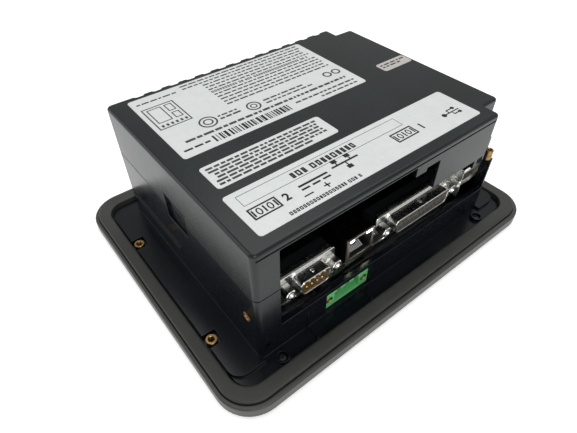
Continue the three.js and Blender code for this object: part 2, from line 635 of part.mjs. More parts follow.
function networkInsert() {
  const { left, right, front, back, top, sheet } = NETWORK;
  const x = (left + right) / 2;
  const { width, bottom, top: mouthTop, depth } = JACK_MOUTH;
  const skin = sheet + 0.2;
  const body = block(left + skin, right - skin, front + skin, back - skin, BOARD.top + SEAT, top - skin);
  const mouth = block(x - width / 2, x + width / 2, front - 1, front + depth, bottom, mouthTop);
  const latch = block(x - JACK_LATCH.half, x + JACK_LATCH.half, front - 1, front + JACK_LATCH.depth,
    mouthTop - 1, mouthTop + JACK_LATCH.rise);
  const { offset, half, bottom: lampLow, top: lampHigh, depth: lampDepth } = JACK_LAMP;
  const lamp = (side) => block(x + side * offset - half - 0.2, x + side * offset + half + 0.2,
    front - 1, front + lampDepth + 0.2, lampLow - 0.2, lampHigh + 0.2);
  const { count, pitch, half: wire, near, high } = JACK_CONTACT;
  const contacts = Array.from({ length: count }, (_, i) => {
    const px = x + (i - (count - 1) / 2) * pitch;
    return block(px - wire, px + wire, front + near, front + depth + 0.5, bottom - 0.5, bottom + high);
  });
  return join(cut(body, mouth, latch, lamp(-1), lamp(1)), ...contacts);
}

piece('network_jack_shell', networkShell(), FINISH.steel);
piece('network_jack_insert', networkInsert(), FINISH.black);
[-1, 1].forEach((side, i) => {
  const { offset, half, bottom, top, depth } = JACK_LAMP;
  const { left, right, front } = NETWORK;
  const x = (left + right) / 2 + side * offset;
  const lens = block(x - half, x + half, front + 0.5, front + depth, bottom, top);
  piece(`network_lamp_${i + 1}`, lens, FINISH.lamp);
});

// ---- USB ports ---------------------------------------------------------------------------------

function usbShell() {
  const { left, right, front, back, bottom, top, sheet } = USB;
  const mouths = USB_MOUTH.floors.map((z) => block(left + sheet, right - sheet, front - 1, back - sheet,
    z, z + USB_MOUTH.height));
  return cut(block(left, right, front, back, bottom, top), ...mouths);
}

function usbTongue(z) {
  const { left, right, front, back } = USB;
  const { tongueInset, tongueLow, tongueHigh } = USB_MOUTH;
  return block(left + tongueInset, right - tongueInset, front + 0.8, back - 0.5,
    z + tongueLow, z + tongueHigh);
}

piece('usb_shell', usbShell(), FINISH.steel);
USB_MOUTH.floors.forEach((z, i) => piece(`usb_tongue_${i + 1}`, usbTongue(z), FINISH.cream));

// ---- power inlet -------------------------------------------------------------------------------

function powerHeader() {
  const { centreX, width, front, back, bottom, top, pitch } = POWER;
  const body = block(centreX - width / 2, centreX + width / 2, front, back, bottom, top);
  const { end, floor, roof, back: rear, keyHalf, keyLow, keyHigh } = POWER_CAVITY;
  const halfCavity = pitch * 1.5 - end;
  const cavity = block(centreX - halfCavity, centreX + halfCavity, front - 1, back - rear,
    bottom + floor, top - roof);
  const keys = [-1, 0, 1].map((i) => block(centreX + i * pitch - keyHalf, centreX + i * pitch + keyHalf,
    front - 1, back - rear, top - keyLow, top - keyHigh));
  const nuts = [-1, 1].map((side) => rodY(
    centreX + side * pitch * 2, POWER_NUT.height, POWER_NUT.radius + 0.1,
    front - 1, front + POWER_NUT.depth + 0.1, 14));
  const pins = [-1, 0, 1].map((i) => rodY(centreX + i * pitch, POWER_PIN.height, POWER_PIN.hole,
    back - 1.8, back + 1, 10));
  return cut(body, cavity, ...keys, ...nuts, ...pins);
}

piece('power_header', powerHeader(), FINISH.green);
[-1, 0, 1].forEach((i) => {
  const x = POWER.centreX + i * POWER.pitch;
  const { height, radius, front } = POWER_PIN;
  const pin = join(
    rodY(x, height, radius, POWER.front + front, POWER.back + 1, 8),
    disc(x, POWER.back + 1, radius, height - radius, BOARD.bottom - SEAT, 8),
  );
  piece(`power_pin_${i + 2}`, pin, FINISH.steel);
});
[-1, 1].forEach((side, i) => {
  const x = POWER.centreX + side * POWER.pitch * 2;
  const { front } = POWER;
  const { height, radius, bore, depth } = POWER_NUT;
  const nut = cut(rodY(x, height, radius, front + 0.2, front + depth, 14),
    rodY(x, height, bore, front - 1, front + depth - 0.7, 10));
  piece(`power_flange_nut_${i + 1}`, nut, FINISH.brass);
});

// ---- brass inserts, standoffs and housing screws -------------------------------------------------

[[-1, 'nearY'], [-1, 'farY'], [1, 'nearY'], [1, 'farY']].forEach(([side, row], i) => {
  const { x, outer, inner, top } = INSERT;
  const low = BEZEL.plate + SEAT;
  const tube = cut(disc(side * x, INSERT[row], outer, low, top, 16),
    disc(side * x, INSERT[row], inner, low + 1, top + 1, 12));
  piece(`bezel_insert_${i + 1}`, tube, FINISH.brass);
});

[['left', -1], ['right', 1]].forEach(([name, side]) => {
  const { y, z, outer, inner, length } = SIDE_INSERT;
  const face = side * (HOUSING.halfX + 0.1);
  const x0 = Math.min(face, face - side * length);
  const tube = cut(rodX(y, z, outer, x0, x0 + length), rodX(y, z, inner, x0 - 1, x0 + length + 1, 12));
  piece(`side_insert_${name}`, tube, FINISH.brass);
});

[['near', HOUSING.near + STANDOFF.inset], ['far', HOUSING.far - STANDOFF.inset]].forEach(([name, y]) => {
  const { x, radius, height, bore } = STANDOFF;
  const low = NOTCH.padTop + SEAT;
  const hex = cut(disc(x, y, radius, low, low + height, 6), disc(x, y, bore, low + 1, low + height + 1, 12));
  piece(`corner_standoff_${name}`, hex, FINISH.brass);
});

bossPlaces.forEach(([x, y], i) => {
  const head = FLANGE.top + SEAT;
  const shank = disc(x, y, BOSS.screw, 2.1, head + 0.5, 10);
  const screw = join(disc(x, y, BOSS.bore - 0.2, head, head + 1, 14), shank);
  piece(`housing_screw_${i + 1}`, screw, FINISH.screw);
});

export default panel;
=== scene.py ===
import math

import bmesh
import bpy
from mathutils import Euler, Matrix, Vector


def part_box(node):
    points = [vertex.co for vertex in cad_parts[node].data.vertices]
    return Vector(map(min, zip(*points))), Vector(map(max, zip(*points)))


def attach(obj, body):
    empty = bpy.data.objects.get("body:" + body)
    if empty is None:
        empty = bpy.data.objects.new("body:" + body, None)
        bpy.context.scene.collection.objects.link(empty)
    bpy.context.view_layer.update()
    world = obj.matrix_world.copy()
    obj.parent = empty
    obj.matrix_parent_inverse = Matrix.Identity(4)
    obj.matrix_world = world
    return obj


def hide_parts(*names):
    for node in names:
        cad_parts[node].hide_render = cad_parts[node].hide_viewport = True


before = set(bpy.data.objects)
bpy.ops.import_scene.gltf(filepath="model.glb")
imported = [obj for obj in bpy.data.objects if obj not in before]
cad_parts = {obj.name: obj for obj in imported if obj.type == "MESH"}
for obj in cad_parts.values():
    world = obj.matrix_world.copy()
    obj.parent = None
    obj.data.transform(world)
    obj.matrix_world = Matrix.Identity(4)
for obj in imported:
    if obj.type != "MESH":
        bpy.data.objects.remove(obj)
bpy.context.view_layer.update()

# Lengths below are in millimetres. The meshes are in metres.
MM = 0.001
BODY = "root"


# ---- sizes, as in the CAD model --------------------------------------------------------------

class Sizes:
    """Named lengths and places of one part, which lies square in the frame."""

    centre_y = 0.0

    def __init__(self, **values):
        self.__dict__.update(values)


BEZEL = Sizes(x=93.5, y=73.5, radius=16, edge=1.2, rim=6.2, plate=3.5)
SEAT = Sizes(x=91.8, y=71.2, radius=14)
SEAL = Sizes(x=91.5, y=70.9, radius=13.7, inner_x=85.7, inner_y=64.5, inner_radius=9, top=7.8)
OVERLAY = Sizes(x=83, y=62, radius=8, recess=1.3, front=0.25, back=0.95)
WINDOW = Sizes(x=60.5, y=46.5, radius=2, centre_y=4)
HOUSING = Sizes(x=71.4, near=-55.9, far=57.6, radius=2.5, wall=2.5)
PARTING = 43
TOP = 67.4
NOTCH = Sizes(x=60.5, near=-47.6, far=49.3, pad=37.8)
FLANGE = Sizes(x=84.9, y=63.9, radius=8.4, bottom=3.8, top=5.2)
SIDE_PLATE = Sizes(near=-58.3, far=52, top=6.8, radius=6)
PORTS = Sizes(left=-60.5, right=68.6, sill=20, rail=45.5, lip=1.6, lip_depth=0.7)
BAY = Sizes(right=22, top=63.5, step_x=13.8, step_top=60.5, tab_x=7.2, tab_bottom=58.8)
VENT = Sizes(first=-55.5, pitch=9, count=13, width=5, depth=1.9, bottom=47)
CLIP = Sizes(start=-7.4, end=9.6, bottom=36, top=49, depth=1.5)
SERIAL = Sizes(flange=-44.9, nose=-50.6, z=24, sheet=0.8, flange_height=12, back=-36)
PORT_9 = Sizes(name="serial9", x=-38.3, screws=24.99, flange=30.8, shell=16.9, rows=(5, 4))
PORT_25 = Sizes(name="serial25", x=28.3, screws=47.04, flange=52.4, shell=38.6, rows=(13, 12))
PIN_PITCH = 2.77
NETWORK = Sizes(left=-19.2, right=-3.6, front=-48.8, back=-33, bottom=17.95, top=33.2)
MOUTH = Sizes(half=5.9, bottom=21.6, top=28.8, latch=31)
LAMPS = Sizes(offset=5.3, half=1.8, bottom=30.4, top=32.2)
USB = Sizes(left=54.9, right=68.3, front=-51.4, back=-37, bottom=18.2, top=35.9)
POWER = Sizes(x=-23.4, width=25.4, front=-54.6, back=-46, bottom=6.2, top=15.2, pitch=5.08)
POWER_PLACE = Sizes(axis=10.7, opening_top=17.9, shelf_side=1.88, shelf_inner=-48.12)
# Heights of a shelf over the power inlet, put there to shade the header's top: a dark sheet standing in for
# shade.
SHADE_SHELF = (15.62, 16.18)
BOSS = Sizes(x=64.2, y=60.9, radius=3, bore=2.1, top=7)
RIB = Sizes(places=(-47, -15.5), half=0.4, wall_top=15.3)
RAIL = Sizes(near=4.4, bottom=18.3, top=19.5)
POST = Sizes(x=65.6, near=-31, far=49, top=16.2)
SIDE_HOLE = Sizes(x=70, y=-48.4, z=26.8, radius=2.4)
PILOT_HOLE = Sizes(x=-67, z=11.5, radius=1.7)
INSERT = Sizes(x=82.4, near=-36.4, far=31.4, pocket=3.4)


# ---- outlines and lofts ----------------------------------------------------------------------

def outline(corners, steps=6):
    """A closed line through corners (x, y, radius), each rounded with an arc of that radius."""
    points = []
    for i, (x, y, radius) in enumerate(corners):
        corner = Vector((x, y))
        back = (Vector(corners[i - 1][:2]) - corner).normalized()
        ahead = (Vector(corners[(i + 1) % len(corners)][:2]) - corner).normalized()
        half = back.angle(ahead) / 2
        radius = max(radius, 1e-3)
        centre = corner + (back + ahead).normalized() * radius / math.sin(half)
        start = corner + back * radius / math.tan(half) - centre
        end = corner + ahead * radius / math.tan(half) - centre
        sweep = -start.angle_signed(end)
        for step in range(steps + 1):
            turn = Matrix.Rotation(sweep * step / steps, 2)
            points.append(tuple(centre + turn @ start))
    return points


def rectangle(x0, x1, y0, y1, radius, steps=6):
    return outline([(x0, y0, radius), (x1, y0, radius), (x1, y1, radius), (x0, y1, radius)], steps)


def at_height(points, z):
    return [(x, y, z) for x, y in points]


def outline_of(part, inset=0.0, steps=12):
    """The rounded outline of a part that is centred in X, drawn in by an inset."""
    x, y = part.x - inset, part.y - inset
    return rectangle(-x, x, part.centre_y - y, part.centre_y + y, part.radius - inset, steps)


def loops_of(part, *places):
    """Outlines of a part at pairs of inset and height."""
    return [at_height(outline_of(part, inset), z) for inset, z in places]


def arc(start, radius, quarter, steps=4):
    """Insets and heights along a quarter round, from a side face to a top or bottom face."""
    turned = []
    for step in range(steps + 1):
        angle = math.pi / 2 * step / steps
        turned.append((radius * (1 - math.cos(angle)), start + quarter * radius * math.sin(angle)))
    return turned


def loft(loops, closed=False):
    """Points and faces of a skin through loops of equal length, capped at both ends unless closed."""
    count = len(loops[0])
    points = [point for loop in loops for point in loop]
    faces = []
    rings = len(loops) if closed else len(loops) - 1
    for ring in range(rings):
        low, high = ring * count, (ring + 1) % len(loops) * count
        for i in range(count):
            j = (i + 1) % count
            faces.append((low + i, low + j, high + j, high + i))
    if not closed:
        faces.append(tuple(reversed(range(count))))
        faces.append(tuple(range(len(points) - count, len(points))))
    return points, faces


def slab(points, z0, z1):
    return loft([at_height(points, z0), at_height(points, z1)])


def block(x0, x1, y0, y1, z0, z1):
    return slab([(x0, y0), (x1, y0), (x1, y1), (x0, y1)], z0, z1)


def soft_slab(shape, z0, z1, low=0.0, high=0.0, steps=3):
    """A slab whose outline is shape(inset), with rounded edges of the radii low and high."""
    loops = []
    if low:
        loops += [at_height(shape(inset), z) for inset, z in reversed(arc(z0 + low, low, -1, steps))]
    else:
        loops.append(at_height(shape(0), z0))
    if high:
        loops += [at_height(shape(inset), z) for inset, z in arc(z1 - high, high, 1, steps)]
    else:
        loops.append(at_height(shape(0), z1))
    return loft(loops)


def oval(x, y, half, tall, sides):
    angles = [2 * math.pi * i / sides for i in range(sides)]
    return [(x + half * math.cos(angle), y + tall * math.sin(angle)) for angle in angles]


def circle(radius, z, sides=24):
    return at_height(oval(0, 0, radius, radius, sides), z)


def turned(profile, sides=24, closed=False):
    """A round body about Z from (radius, height) pairs, a tube if closed."""
    return loft([circle(radius, height, sides) for radius, height in profile], closed)


def placed(shape, move=(0, 0, 0), turn=(0, 0, 0)):
    """A shape turned, in degrees about X, Y and Z, and then moved."""
    points, faces = shape
    spin = Euler([math.radians(angle) for angle in turn]).to_matrix()
    return [tuple(spin @ Vector(point) + Vector(move)) for point in points], faces


def facing_ports(shape, x, y, z):
    """A shape drawn along Z, laid down so that its start faces the connector side."""
    return placed(shape, (x, y, z), (-90, 0, 0))


def y_slab(points, y0, y1):
    """An outline in X and Z, carried along Y from y0 to y1."""
    return [(x, y, z) for y, line in ((y0, points), (y1, points)) for x, z in line], slab(points, 0, 1)[1]


# ---- objects ---------------------------------------------------------------------------------

def build(name, *shapes):
    """One object holding closed shapes given in millimetres."""
    mesh = bpy.data.meshes.new(name)
    solid = bmesh.new()
    for points, faces in shapes:
        corners = [solid.verts.new([value * MM for value in point]) for point in points]
        made = [solid.faces.new([corners[i] for i in face]) for face in faces]
        bmesh.ops.recalc_face_normals(solid, faces=made)
    solid.to_mesh(mesh)
    solid.free()
    piece = bpy.data.objects.new(name, mesh)
    bpy.context.scene.collection.objects.link(piece)
    return piece


def settle(piece):
    """Applies the modifiers of a piece and leaves a plain mesh."""
    bpy.context.view_layer.update()
    graph = bpy.context.evaluated_depsgraph_get()
    mesh = bpy.data.meshes.new_from_object(piece.evaluated_get(graph))
    piece.modifiers.clear()
    old = piece.data
    piece.data = mesh
    bpy.data.meshes.remove(old)
    return piece


def combine(piece, operation, *others):
    """Joins other objects to a piece, or cuts them out of it, and removes them."""
    for other in others:
        change = piece.modifiers.new(operation, "BOOLEAN")
        change.operation = operation
        change.solver = "EXACT"
        change.object = other
        settle(piece)
        bpy.data.objects.remove(other)
    return piece


def cut(piece, *shapes):
    return combine(piece, "DIFFERENCE", *[build("tool", shape) for shape in shapes])


def join(piece, *shapes):
    return combine(piece, "UNION", *[build("part", shape) for shape in shapes])


def soften(piece, width, segments=2, angle=40):
    """Rounds the sharp edges of a piece a little, as a mould or a press leaves them."""
    clean = bmesh.new()
    clean.from_mesh(piece.data)
    bmesh.ops.remove_doubles(clean, verts=clean.verts, dist=0.004 * MM)
    bmesh.ops.dissolve_limit(clean, angle_limit=math.radians(0.5), verts=clean.verts, edges=clean.edges)
    clean.to_mesh(piece.data)
    clean.free()
    bevel = piece.modifiers.new("edges", "BEVEL")
    bevel.width = width * MM
    bevel.segments = segments
    bevel.limit_method = "ANGLE"
    bevel.angle_limit = math.radians(angle)
    bevel.use_clamp_overlap = False
    bevel.miter_outer = "MITER_ARC"
    return settle(piece)


def smooth(piece, angle=38):
    """Shades gentle curves smooth and keeps flat faces flat."""
    piece.data.shade_smooth()
    piece.data.set_sharp_from_angle(angle=math.radians(angle))
    weigh = piece.modifiers.new("normals", "WEIGHTED_NORMAL")
    weigh.keep_sharp = True
    return settle(piece)


def finish_piece(piece, finish, slot, *nodes, angle=38):
    """Gives a piece its finish and its place on the body, and hides the nodes that it stands for."""
    if finish is not None:
        piece.data.materials.clear()
        piece.data.materials.append(finish)
    smooth(piece, angle)
    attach(piece, BODY)
    if nodes:
        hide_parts(*nodes)
    return piece


# ---- rows and rings of repeated shapes -------------------------------------------------------

def copying_tree(name, extra_inputs, place):
    """Nodes that copy a mesh Count times, where place() says, and give the copies a finish."""
    tree = bpy.data.node_groups.new(name, "GeometryNodeTree")
    names = {}
    for label, kind in (("Geometry", "Geometry"), ("Count", "Int"), *extra_inputs, ("Finish", "Material")):
        made = tree.interface.new_socket(label, in_out="INPUT", socket_type="NodeSocket" + kind)
        names[label.lower()] = made.identifier
    tree.interface.new_socket("Geometry", in_out="OUTPUT", socket_type="NodeSocketGeometry")
    start, end, line, copies, real, paint = [tree.nodes.new(kind) for kind in (
        "NodeGroupInput", "NodeGroupOutput", "GeometryNodeMeshLine", "GeometryNodeInstanceOnPoints",
        "GeometryNodeRealizeInstances", "GeometryNodeSetMaterial")]
    line.mode = "OFFSET"
    wires = place(tree, start, line, copies) + [
        (start, "Count", line, "Count"), (line, "Mesh", copies, "Points"),
        (start, "Geometry", copies, "Instance"), (copies, "Instances", real, "Geometry"),
        (real, "Geometry", paint, "Geometry"), (start, "Finish", paint, "Material"),
        (paint, "Geometry", end, "Geometry")]
    for giver, output, taker, target in wires:
        tree.links.new(giver.outputs[output], taker.inputs[target])
    return tree, names


def along_a_line(tree, start, line, copies):
    return [(start, "Start", line, "Start Location"), (start, "Step", line, "Offset")]


def round_the_axis(tree, start, line, copies):
    """All points at the origin, each copy turned by its share of a full turn about Z."""
    line.inputs["Offset"].default_value = (0, 0, 0)
    index, share, angle, spin = [tree.nodes.new(kind) for kind in (
        "GeometryNodeInputIndex", "ShaderNodeMath", "ShaderNodeMath", "ShaderNodeCombineXYZ")]
    share.operation, angle.operation = "DIVIDE", "MULTIPLY"
    angle.inputs[1].default_value = 2 * math.pi
    return [(index, 0, share, 0), (start, "Count", share, 1), (share, 0, angle, 0),
            (angle, 0, spin, "Z"), (spin, 0, copies, "Rotation")]


ROW, ROW_SOCKETS = copying_tree("row", (("Start", "Vector"), ("Step", "Vector")), along_a_line)
RING, RING_SOCKETS = copying_tree("ring", (), round_the_axis)


def repeat(piece, tree, sockets, finish, **values):
    copies = piece.modifiers.new("copies", "NODES")
    copies.node_group = tree
    for name, value in values.items():
        copies[sockets[name]] = value
    copies[sockets["finish"]] = finish
    return settle(piece)


def row(name, shape, count, start, step, finish=None):
    """Count copies of a shape, the first at start and each next one a step further, in millimetres."""
    return repeat(build(name, *shape), ROW, ROW_SOCKETS, finish, count=count,
                  start=[value * MM for value in start], step=[value * MM for value in step])


def ring(name, shape, count, finish=None):
    return repeat(build(name, *shape), RING, RING_SOCKETS, finish, count=count)


def merge(name, pieces):
    """Several objects as one, with the finish of each kept."""
    with bpy.context.temp_override(active_object=pieces[0], selected_editable_objects=pieces):
        bpy.ops.object.join()
    pieces[0].name = name
    return pieces[0]


def shift(piece, move=(0, 0, 0), turn=(0, 0, 0)):
    """Turns and moves the mesh of a piece, in degrees and millimetres."""
    spin = Euler([math.radians(angle) for angle in turn]).to_matrix().to_4x4()
    piece.data.transform(Matrix.Translation([value * MM for value in move]) @ spin)
    return piece


# ---- finishes --------------------------------------------------------------------------------

class Value:
    """A shader socket whose arithmetic adds Math nodes."""

    def __init__(self, finish, output):
        self.finish, self.output = finish, output

    def math(self, operation, *terms, clamp=False):
        return self.finish.node("ShaderNodeMath", {"operation": operation, "use_clamp": clamp},
                                dict(enumerate(terms)))

    def __add__(self, other):
        return self.math("ADD", self, other)

    __radd__ = __add__

    def __sub__(self, other):
        return self.math("SUBTRACT", self, other)

    def __rsub__(self, other):
        return self.math("SUBTRACT", other, self)

    def __mul__(self, other):
        return self.math("MULTIPLY", self, other)

    __rmul__ = __mul__

    def __abs__(self):
        return self.math("ABSOLUTE", self)

    def step(self, low, high):
        """0 below low and 1 above high, with a smooth rise between them."""
        return self.finish.node("ShaderNodeMapRange", {"interpolation_type": "SMOOTHSTEP"},
                                {"Value": self, "From Min": low, "From Max": high})

    def top(self, other):
        return self.math("MAXIMUM", self, other)

    def least(self, other):
        return self.math("MINIMUM", self, other)


class Finish:
    """A material with one Principled shader, and the nodes that feed it."""

    def __init__(self, name, **constants):
        self.material = bpy.data.materials.new(name)
        self.material.use_nodes = True
        self.tree = self.material.node_tree
        self.tree.nodes.clear()
        self.shader = self.tree.nodes.new("ShaderNodeBsdfPrincipled")
        end = self.tree.nodes.new("ShaderNodeOutputMaterial")
        self.tree.links.new(self.shader.outputs["BSDF"], end.inputs["Surface"])
        for key, value in constants.items():
            self.shader.inputs[key.replace("_", " ")].default_value = value
        self.place = self.node("ShaderNodeTexCoord", {}, {}, "Object")

    def node(self, kind, settings, sockets, output=0):
        made = self.tree.nodes.new(kind)
        for key, value in settings.items():
            setattr(made, key, value)
        for key, value in sockets.items():
            self.feed(made.inputs[key], value)
        return Value(self, made.outputs[output])

    def feed(self, target, value):
        if isinstance(value, Value):
            self.tree.links.new(value.output, target)
        else:
            target.default_value = value

    def set(self, **sockets):
        for key, value in sockets.items():
            self.feed(self.shader.inputs[key.replace("_", " ")], value)
        return self.material

    def stretched(self, x, y, z):
        return self.node("ShaderNodeMapping", {}, {"Vector": self.place, "Scale": (x, y, z)})

    def noise(self, scale, detail=2.0, roughness=0.5, place=None):
        return self.node("ShaderNodeTexNoise", {}, {
            "Vector": place or self.place, "Scale": scale, "Detail": detail, "Roughness": roughness})

    def cells(self, scale, place=None):
        return self.node("ShaderNodeTexVoronoi", {}, {"Vector": place or self.place, "Scale": scale})

    def mix(self, share, first, second):
        return self.node("ShaderNodeMix", {"data_type": "RGBA"}, {0: share, 6: first, 7: second}, 2)

    def bump(self, height, depth, strength=1.0, below=None):
        sockets = {"Height": height, "Distance": depth * MM, "Strength": strength}
        if below is not None:
            sockets["Normal"] = below
        return self.node("ShaderNodeBump", {}, sockets)

    def axes(self):
        parts = self.tree.nodes.new("ShaderNodeSeparateXYZ")
        self.tree.links.new(self.place.output, parts.inputs[0])
        return [Value(self, parts.outputs[i]) for i in range(3)]


def shade(colour, factor):
    return tuple(channel * factor for channel in colour[:3]) + (1.0,)


def moulded(name, colour, rough, grain, depth, scuffs=0.25, hollow=None, **constants):
    """Injection-moulded plastic: a spark-eroded grain, faint flow clouds, dust and a few rubbed streaks.

    With a hollow depth, the faces inside the case, from that far behind the near wall, are painted a dull
    black: painted shade for the dark inside of the case."""
    made = Finish(name, **constants)
    clouds = made.noise(35, 3)
    grains = made.noise(grain, 2, 0.6)
    streaks = made.noise(90, 4, 0.7, made.stretched(1, 0.12, 1)).step(0.62, 0.78)
    rubbed = made.noise(700, 2, 0.6, made.stretched(0.15, 1, 1)).step(0.66, 0.8) * streaks
    base = made.mix(clouds.step(0.35, 0.65), shade(colour, 0.9), shade(colour, 1.1))
    base = made.mix(rubbed * scuffs, base, shade(colour, 2.2))
    if hollow is not None:
        # Painted shade: the faces inside the case, behind the near wall by the hollow depth and below the
        # top, are mixed to near-black for the shade inside the case.
        x, y, z = made.axes()
        side, near, far = HOUSING.x - HOUSING.wall + 0.4, HOUSING.near + hollow, HOUSING.far - 5
        inner = (1 - abs(x).step(side * MM, (side + 0.1) * MM)) * y.step(near * MM, (near + 0.1) * MM)
        inner = inner * (1 - y.step(far * MM, (far + 0.1) * MM))
        inner = inner * (1 - z.step((TOP - 3) * MM, (TOP - 2.9) * MM))
        base = made.mix(inner, base, (0.0025, 0.0027, 0.003, 1))
    roughness = rough + (clouds - 0.5) * 0.08 + (grains - 0.5) * 0.1 + rubbed * 0.15
    relief = made.bump(grains, depth, 0.5)
    return made.set(Base_Color=base, Roughness=roughness, Normal=relief)


def plated(name, colour, rough, brush=(1, 1, 1), scale=900, depth=0.01, tarnish=0.3, dark_from=None):
    """Bright metal: fine drawing lines, faint tarnish clouds and small pits, dark beyond a given depth."""
    made = Finish(name, Metallic=1.0)
    lines = made.noise(scale, 3, 0.6, made.stretched(*brush))
    clouds = made.noise(160, 4, 0.6)
    pits = made.cells(1400).step(0.0, 0.12)
    stained = clouds.step(0.5, 0.75)
    base = made.mix(stained * tarnish, colour + (1,), shade(colour, 0.55))
    base = made.mix((1 - pits) * 0.12, base, shade(colour, 0.3))
    # Behind the given depth the metal is darkened to near black: partly painted shade on the sides and top of
    # the network jack, partly its black body behind the metal front.
    if dark_from is not None:
        _, y, _ = made.axes()
        base = made.mix(y.step(dark_from * MM, (dark_from + 0.15) * MM), base, shade(colour, 0.06))
    roughness = rough + (lines - 0.5) * 0.16 + stained * 0.12
    relief = made.bump(lines * 0.6 + pits * 0.4, depth, 0.5)
    return made.set(Base_Color=base, Roughness=roughness, Normal=relief)


def insulator(name, colour, body):
    """A serial connector's moulding: coloured in front of the flange, with a dark body behind it."""
    made = Finish(name)
    _, y, _ = made.axes()
    behind = y.step((SERIAL.flange + 0.2) * MM, (SERIAL.flange + 0.3) * MM)
    clouds = made.noise(400, 3)
    grains = made.noise(3000, 2, 0.6)
    base = made.mix(clouds.step(0.35, 0.65), shade(colour, 0.8), shade(colour, 1.2))
    base = made.mix(behind, base, body + (1,))
    relief = made.bump(grains, 0.02, 0.5)
    return made.set(Base_Color=base, Roughness=0.42 + (grains - 0.5) * 0.12, Normal=relief)


def vinyl(name, colour, rough=0.35):
    """Printed label stock: a faint paper-like mottle, tiny bubbles under it and a satin top coat."""
    made = Finish(name)
    mottle = made.noise(260, 4, 0.6)
    fibres = made.noise(2600, 2, 0.5)
    handled = made.noise(30, 2).step(0.5, 0.8)
    base = made.mix(mottle.step(0.3, 0.7), shade(colour, 0.97), shade(colour, 1.02))
    base = made.mix(handled * 0.12, base, shade(colour, 0.88))
    bubbles = made.cells(120).step(0.05, 0.16)
    relief = made.bump(fibres * 0.3 + bubbles * 0.5, 0.02, 0.35)
    return made.set(Base_Color=base, Roughness=rough + (mottle - 0.5) * 0.15, Normal=relief)


def printed(name, colour):
    """Ink on a label: slightly uneven, with paler specks where it did not take."""
    made = Finish(name, Specular_IOR_Level=0.2)
    specks = made.noise(1900, 2, 0.6).step(0.6, 0.72)
    density = made.noise(140, 2)
    base = made.mix(density.step(0.3, 0.7), shade(colour, 0.85), shade(colour, 1.15))
    base = made.mix(specks * 0.12, base, (0.4, 0.41, 0.41, 1))
    relief = made.bump(specks, 0.01, 0.3)
    return made.set(Base_Color=base, Roughness=0.42 + density * 0.1, Normal=relief)


def sealing_rubber():
    """Closed-cell seal: fine pores, talc dust and shallow mould waves."""
    made = Finish("sealing_rubber")
    pores = made.cells(2600).step(0.0, 0.45)
    waves = made.noise(60, 3)
    talc = made.noise(450, 4, 0.7).step(0.55, 0.8)
    base = made.mix(waves.step(0.3, 0.7), (0.024, 0.024, 0.022, 1), (0.032, 0.032, 0.029, 1))
    base = made.mix(talc * 0.25, base, (0.07, 0.069, 0.064, 1))
    base = made.mix((1 - pores) * 0.3, base, (0.012, 0.012, 0.011, 1))
    relief = made.bump(pores * 0.5 + waves, 0.04, 0.4)
    return made.set(Base_Color=base, Roughness=0.62 + (talc - 0.5) * 0.12, Normal=relief)


def circuit_board():
    """Very dark green solder mask over copper lines, with a tinned ground strip along the front edge."""
    made = Finish("circuit_board", IOR=1.5)
    x, y, _ = made.axes()
    strip = (1 - y.step(-47.4 * MM, -47.2 * MM)) * x.step(-56 * MM, -55.8 * MM)
    lines = abs((x * 700).math("SINE", x * 700)).least(abs((y * 620).math("SINE", y * 620)))
    traces = lines.step(0.08, 0.2) * made.noise(240, 1).step(0.46, 0.5)
    marks = made.cells(330).step(0.06, 0.1)
    base = made.mix(traces, (0.0015, 0.0060, 0.0050, 1), (0.0030, 0.0120, 0.0090, 1))
    base = made.mix((1 - marks) * 0.35, base, (0.20, 0.20, 0.17, 1))
    base = made.mix(strip, base, (0.86, 0.87, 0.86, 1))
    relief = made.bump(traces + marks * 0.3, 0.05, 0.6)
    roughness = 0.32 + traces * 0.08 - strip * 0.1
    return made.set(Base_Color=base, Roughness=roughness, Metallic=strip, Normal=relief)


def front_film():
    """Printed film: fine-textured dark border round a smooth, darker clear window."""
    made = Finish("front_film", Coat_Roughness=0.12, Coat_IOR=1.5)
    x, y, _ = made.axes()
    across = abs(x) - WINDOW.x * MM
    along = abs(y - WINDOW.centre_y * MM) - WINDOW.y * MM
    border = across.top(along).step(-0.1 * MM, 0.1 * MM)
    line = 1 - abs(across.top(along) - 1.2 * MM).step(0.1 * MM, 0.3 * MM)
    texture = made.noise(5200, 1, 0.4)
    smudge = made.noise(26, 3).step(0.45, 0.75)
    base = made.mix(border, (0.004, 0.005, 0.006, 1), (0.022, 0.024, 0.027, 1))
    base = made.mix(line * 0.7, base, (0.16, 0.165, 0.17, 1))
    roughness = 0.12 + border * 0.32 + smudge * 0.08
    relief = made.bump(texture * border, 0.02, 0.5)
    return made.set(Base_Color=base, Roughness=roughness, Normal=relief, Coat_Weight=0.5 - border * 0.5)


def glowing(name, colour, strength):
    """A lit indicator: emissive, with a faint grain."""
    made = Finish(name, Emission_Strength=strength, Coat_Roughness=0.1)
    haze = made.noise(1500, 2)
    base = made.mix(haze.step(0.3, 0.7), shade(colour, 0.8), shade(colour, 1.0))
    return made.set(Base_Color=base, Emission_Color=base, Roughness=0.25 + haze * 0.1)


def clear_glass():
    made = Finish("sensor_glass", IOR=1.5, Transmission_Weight=0.6)
    haze = made.noise(400, 2)
    base = made.mix(haze, (0.5, 0.55, 0.57, 1), (0.6, 0.64, 0.66, 1))
    return made.set(Base_Color=base, Roughness=0.06 + haze * 0.05)
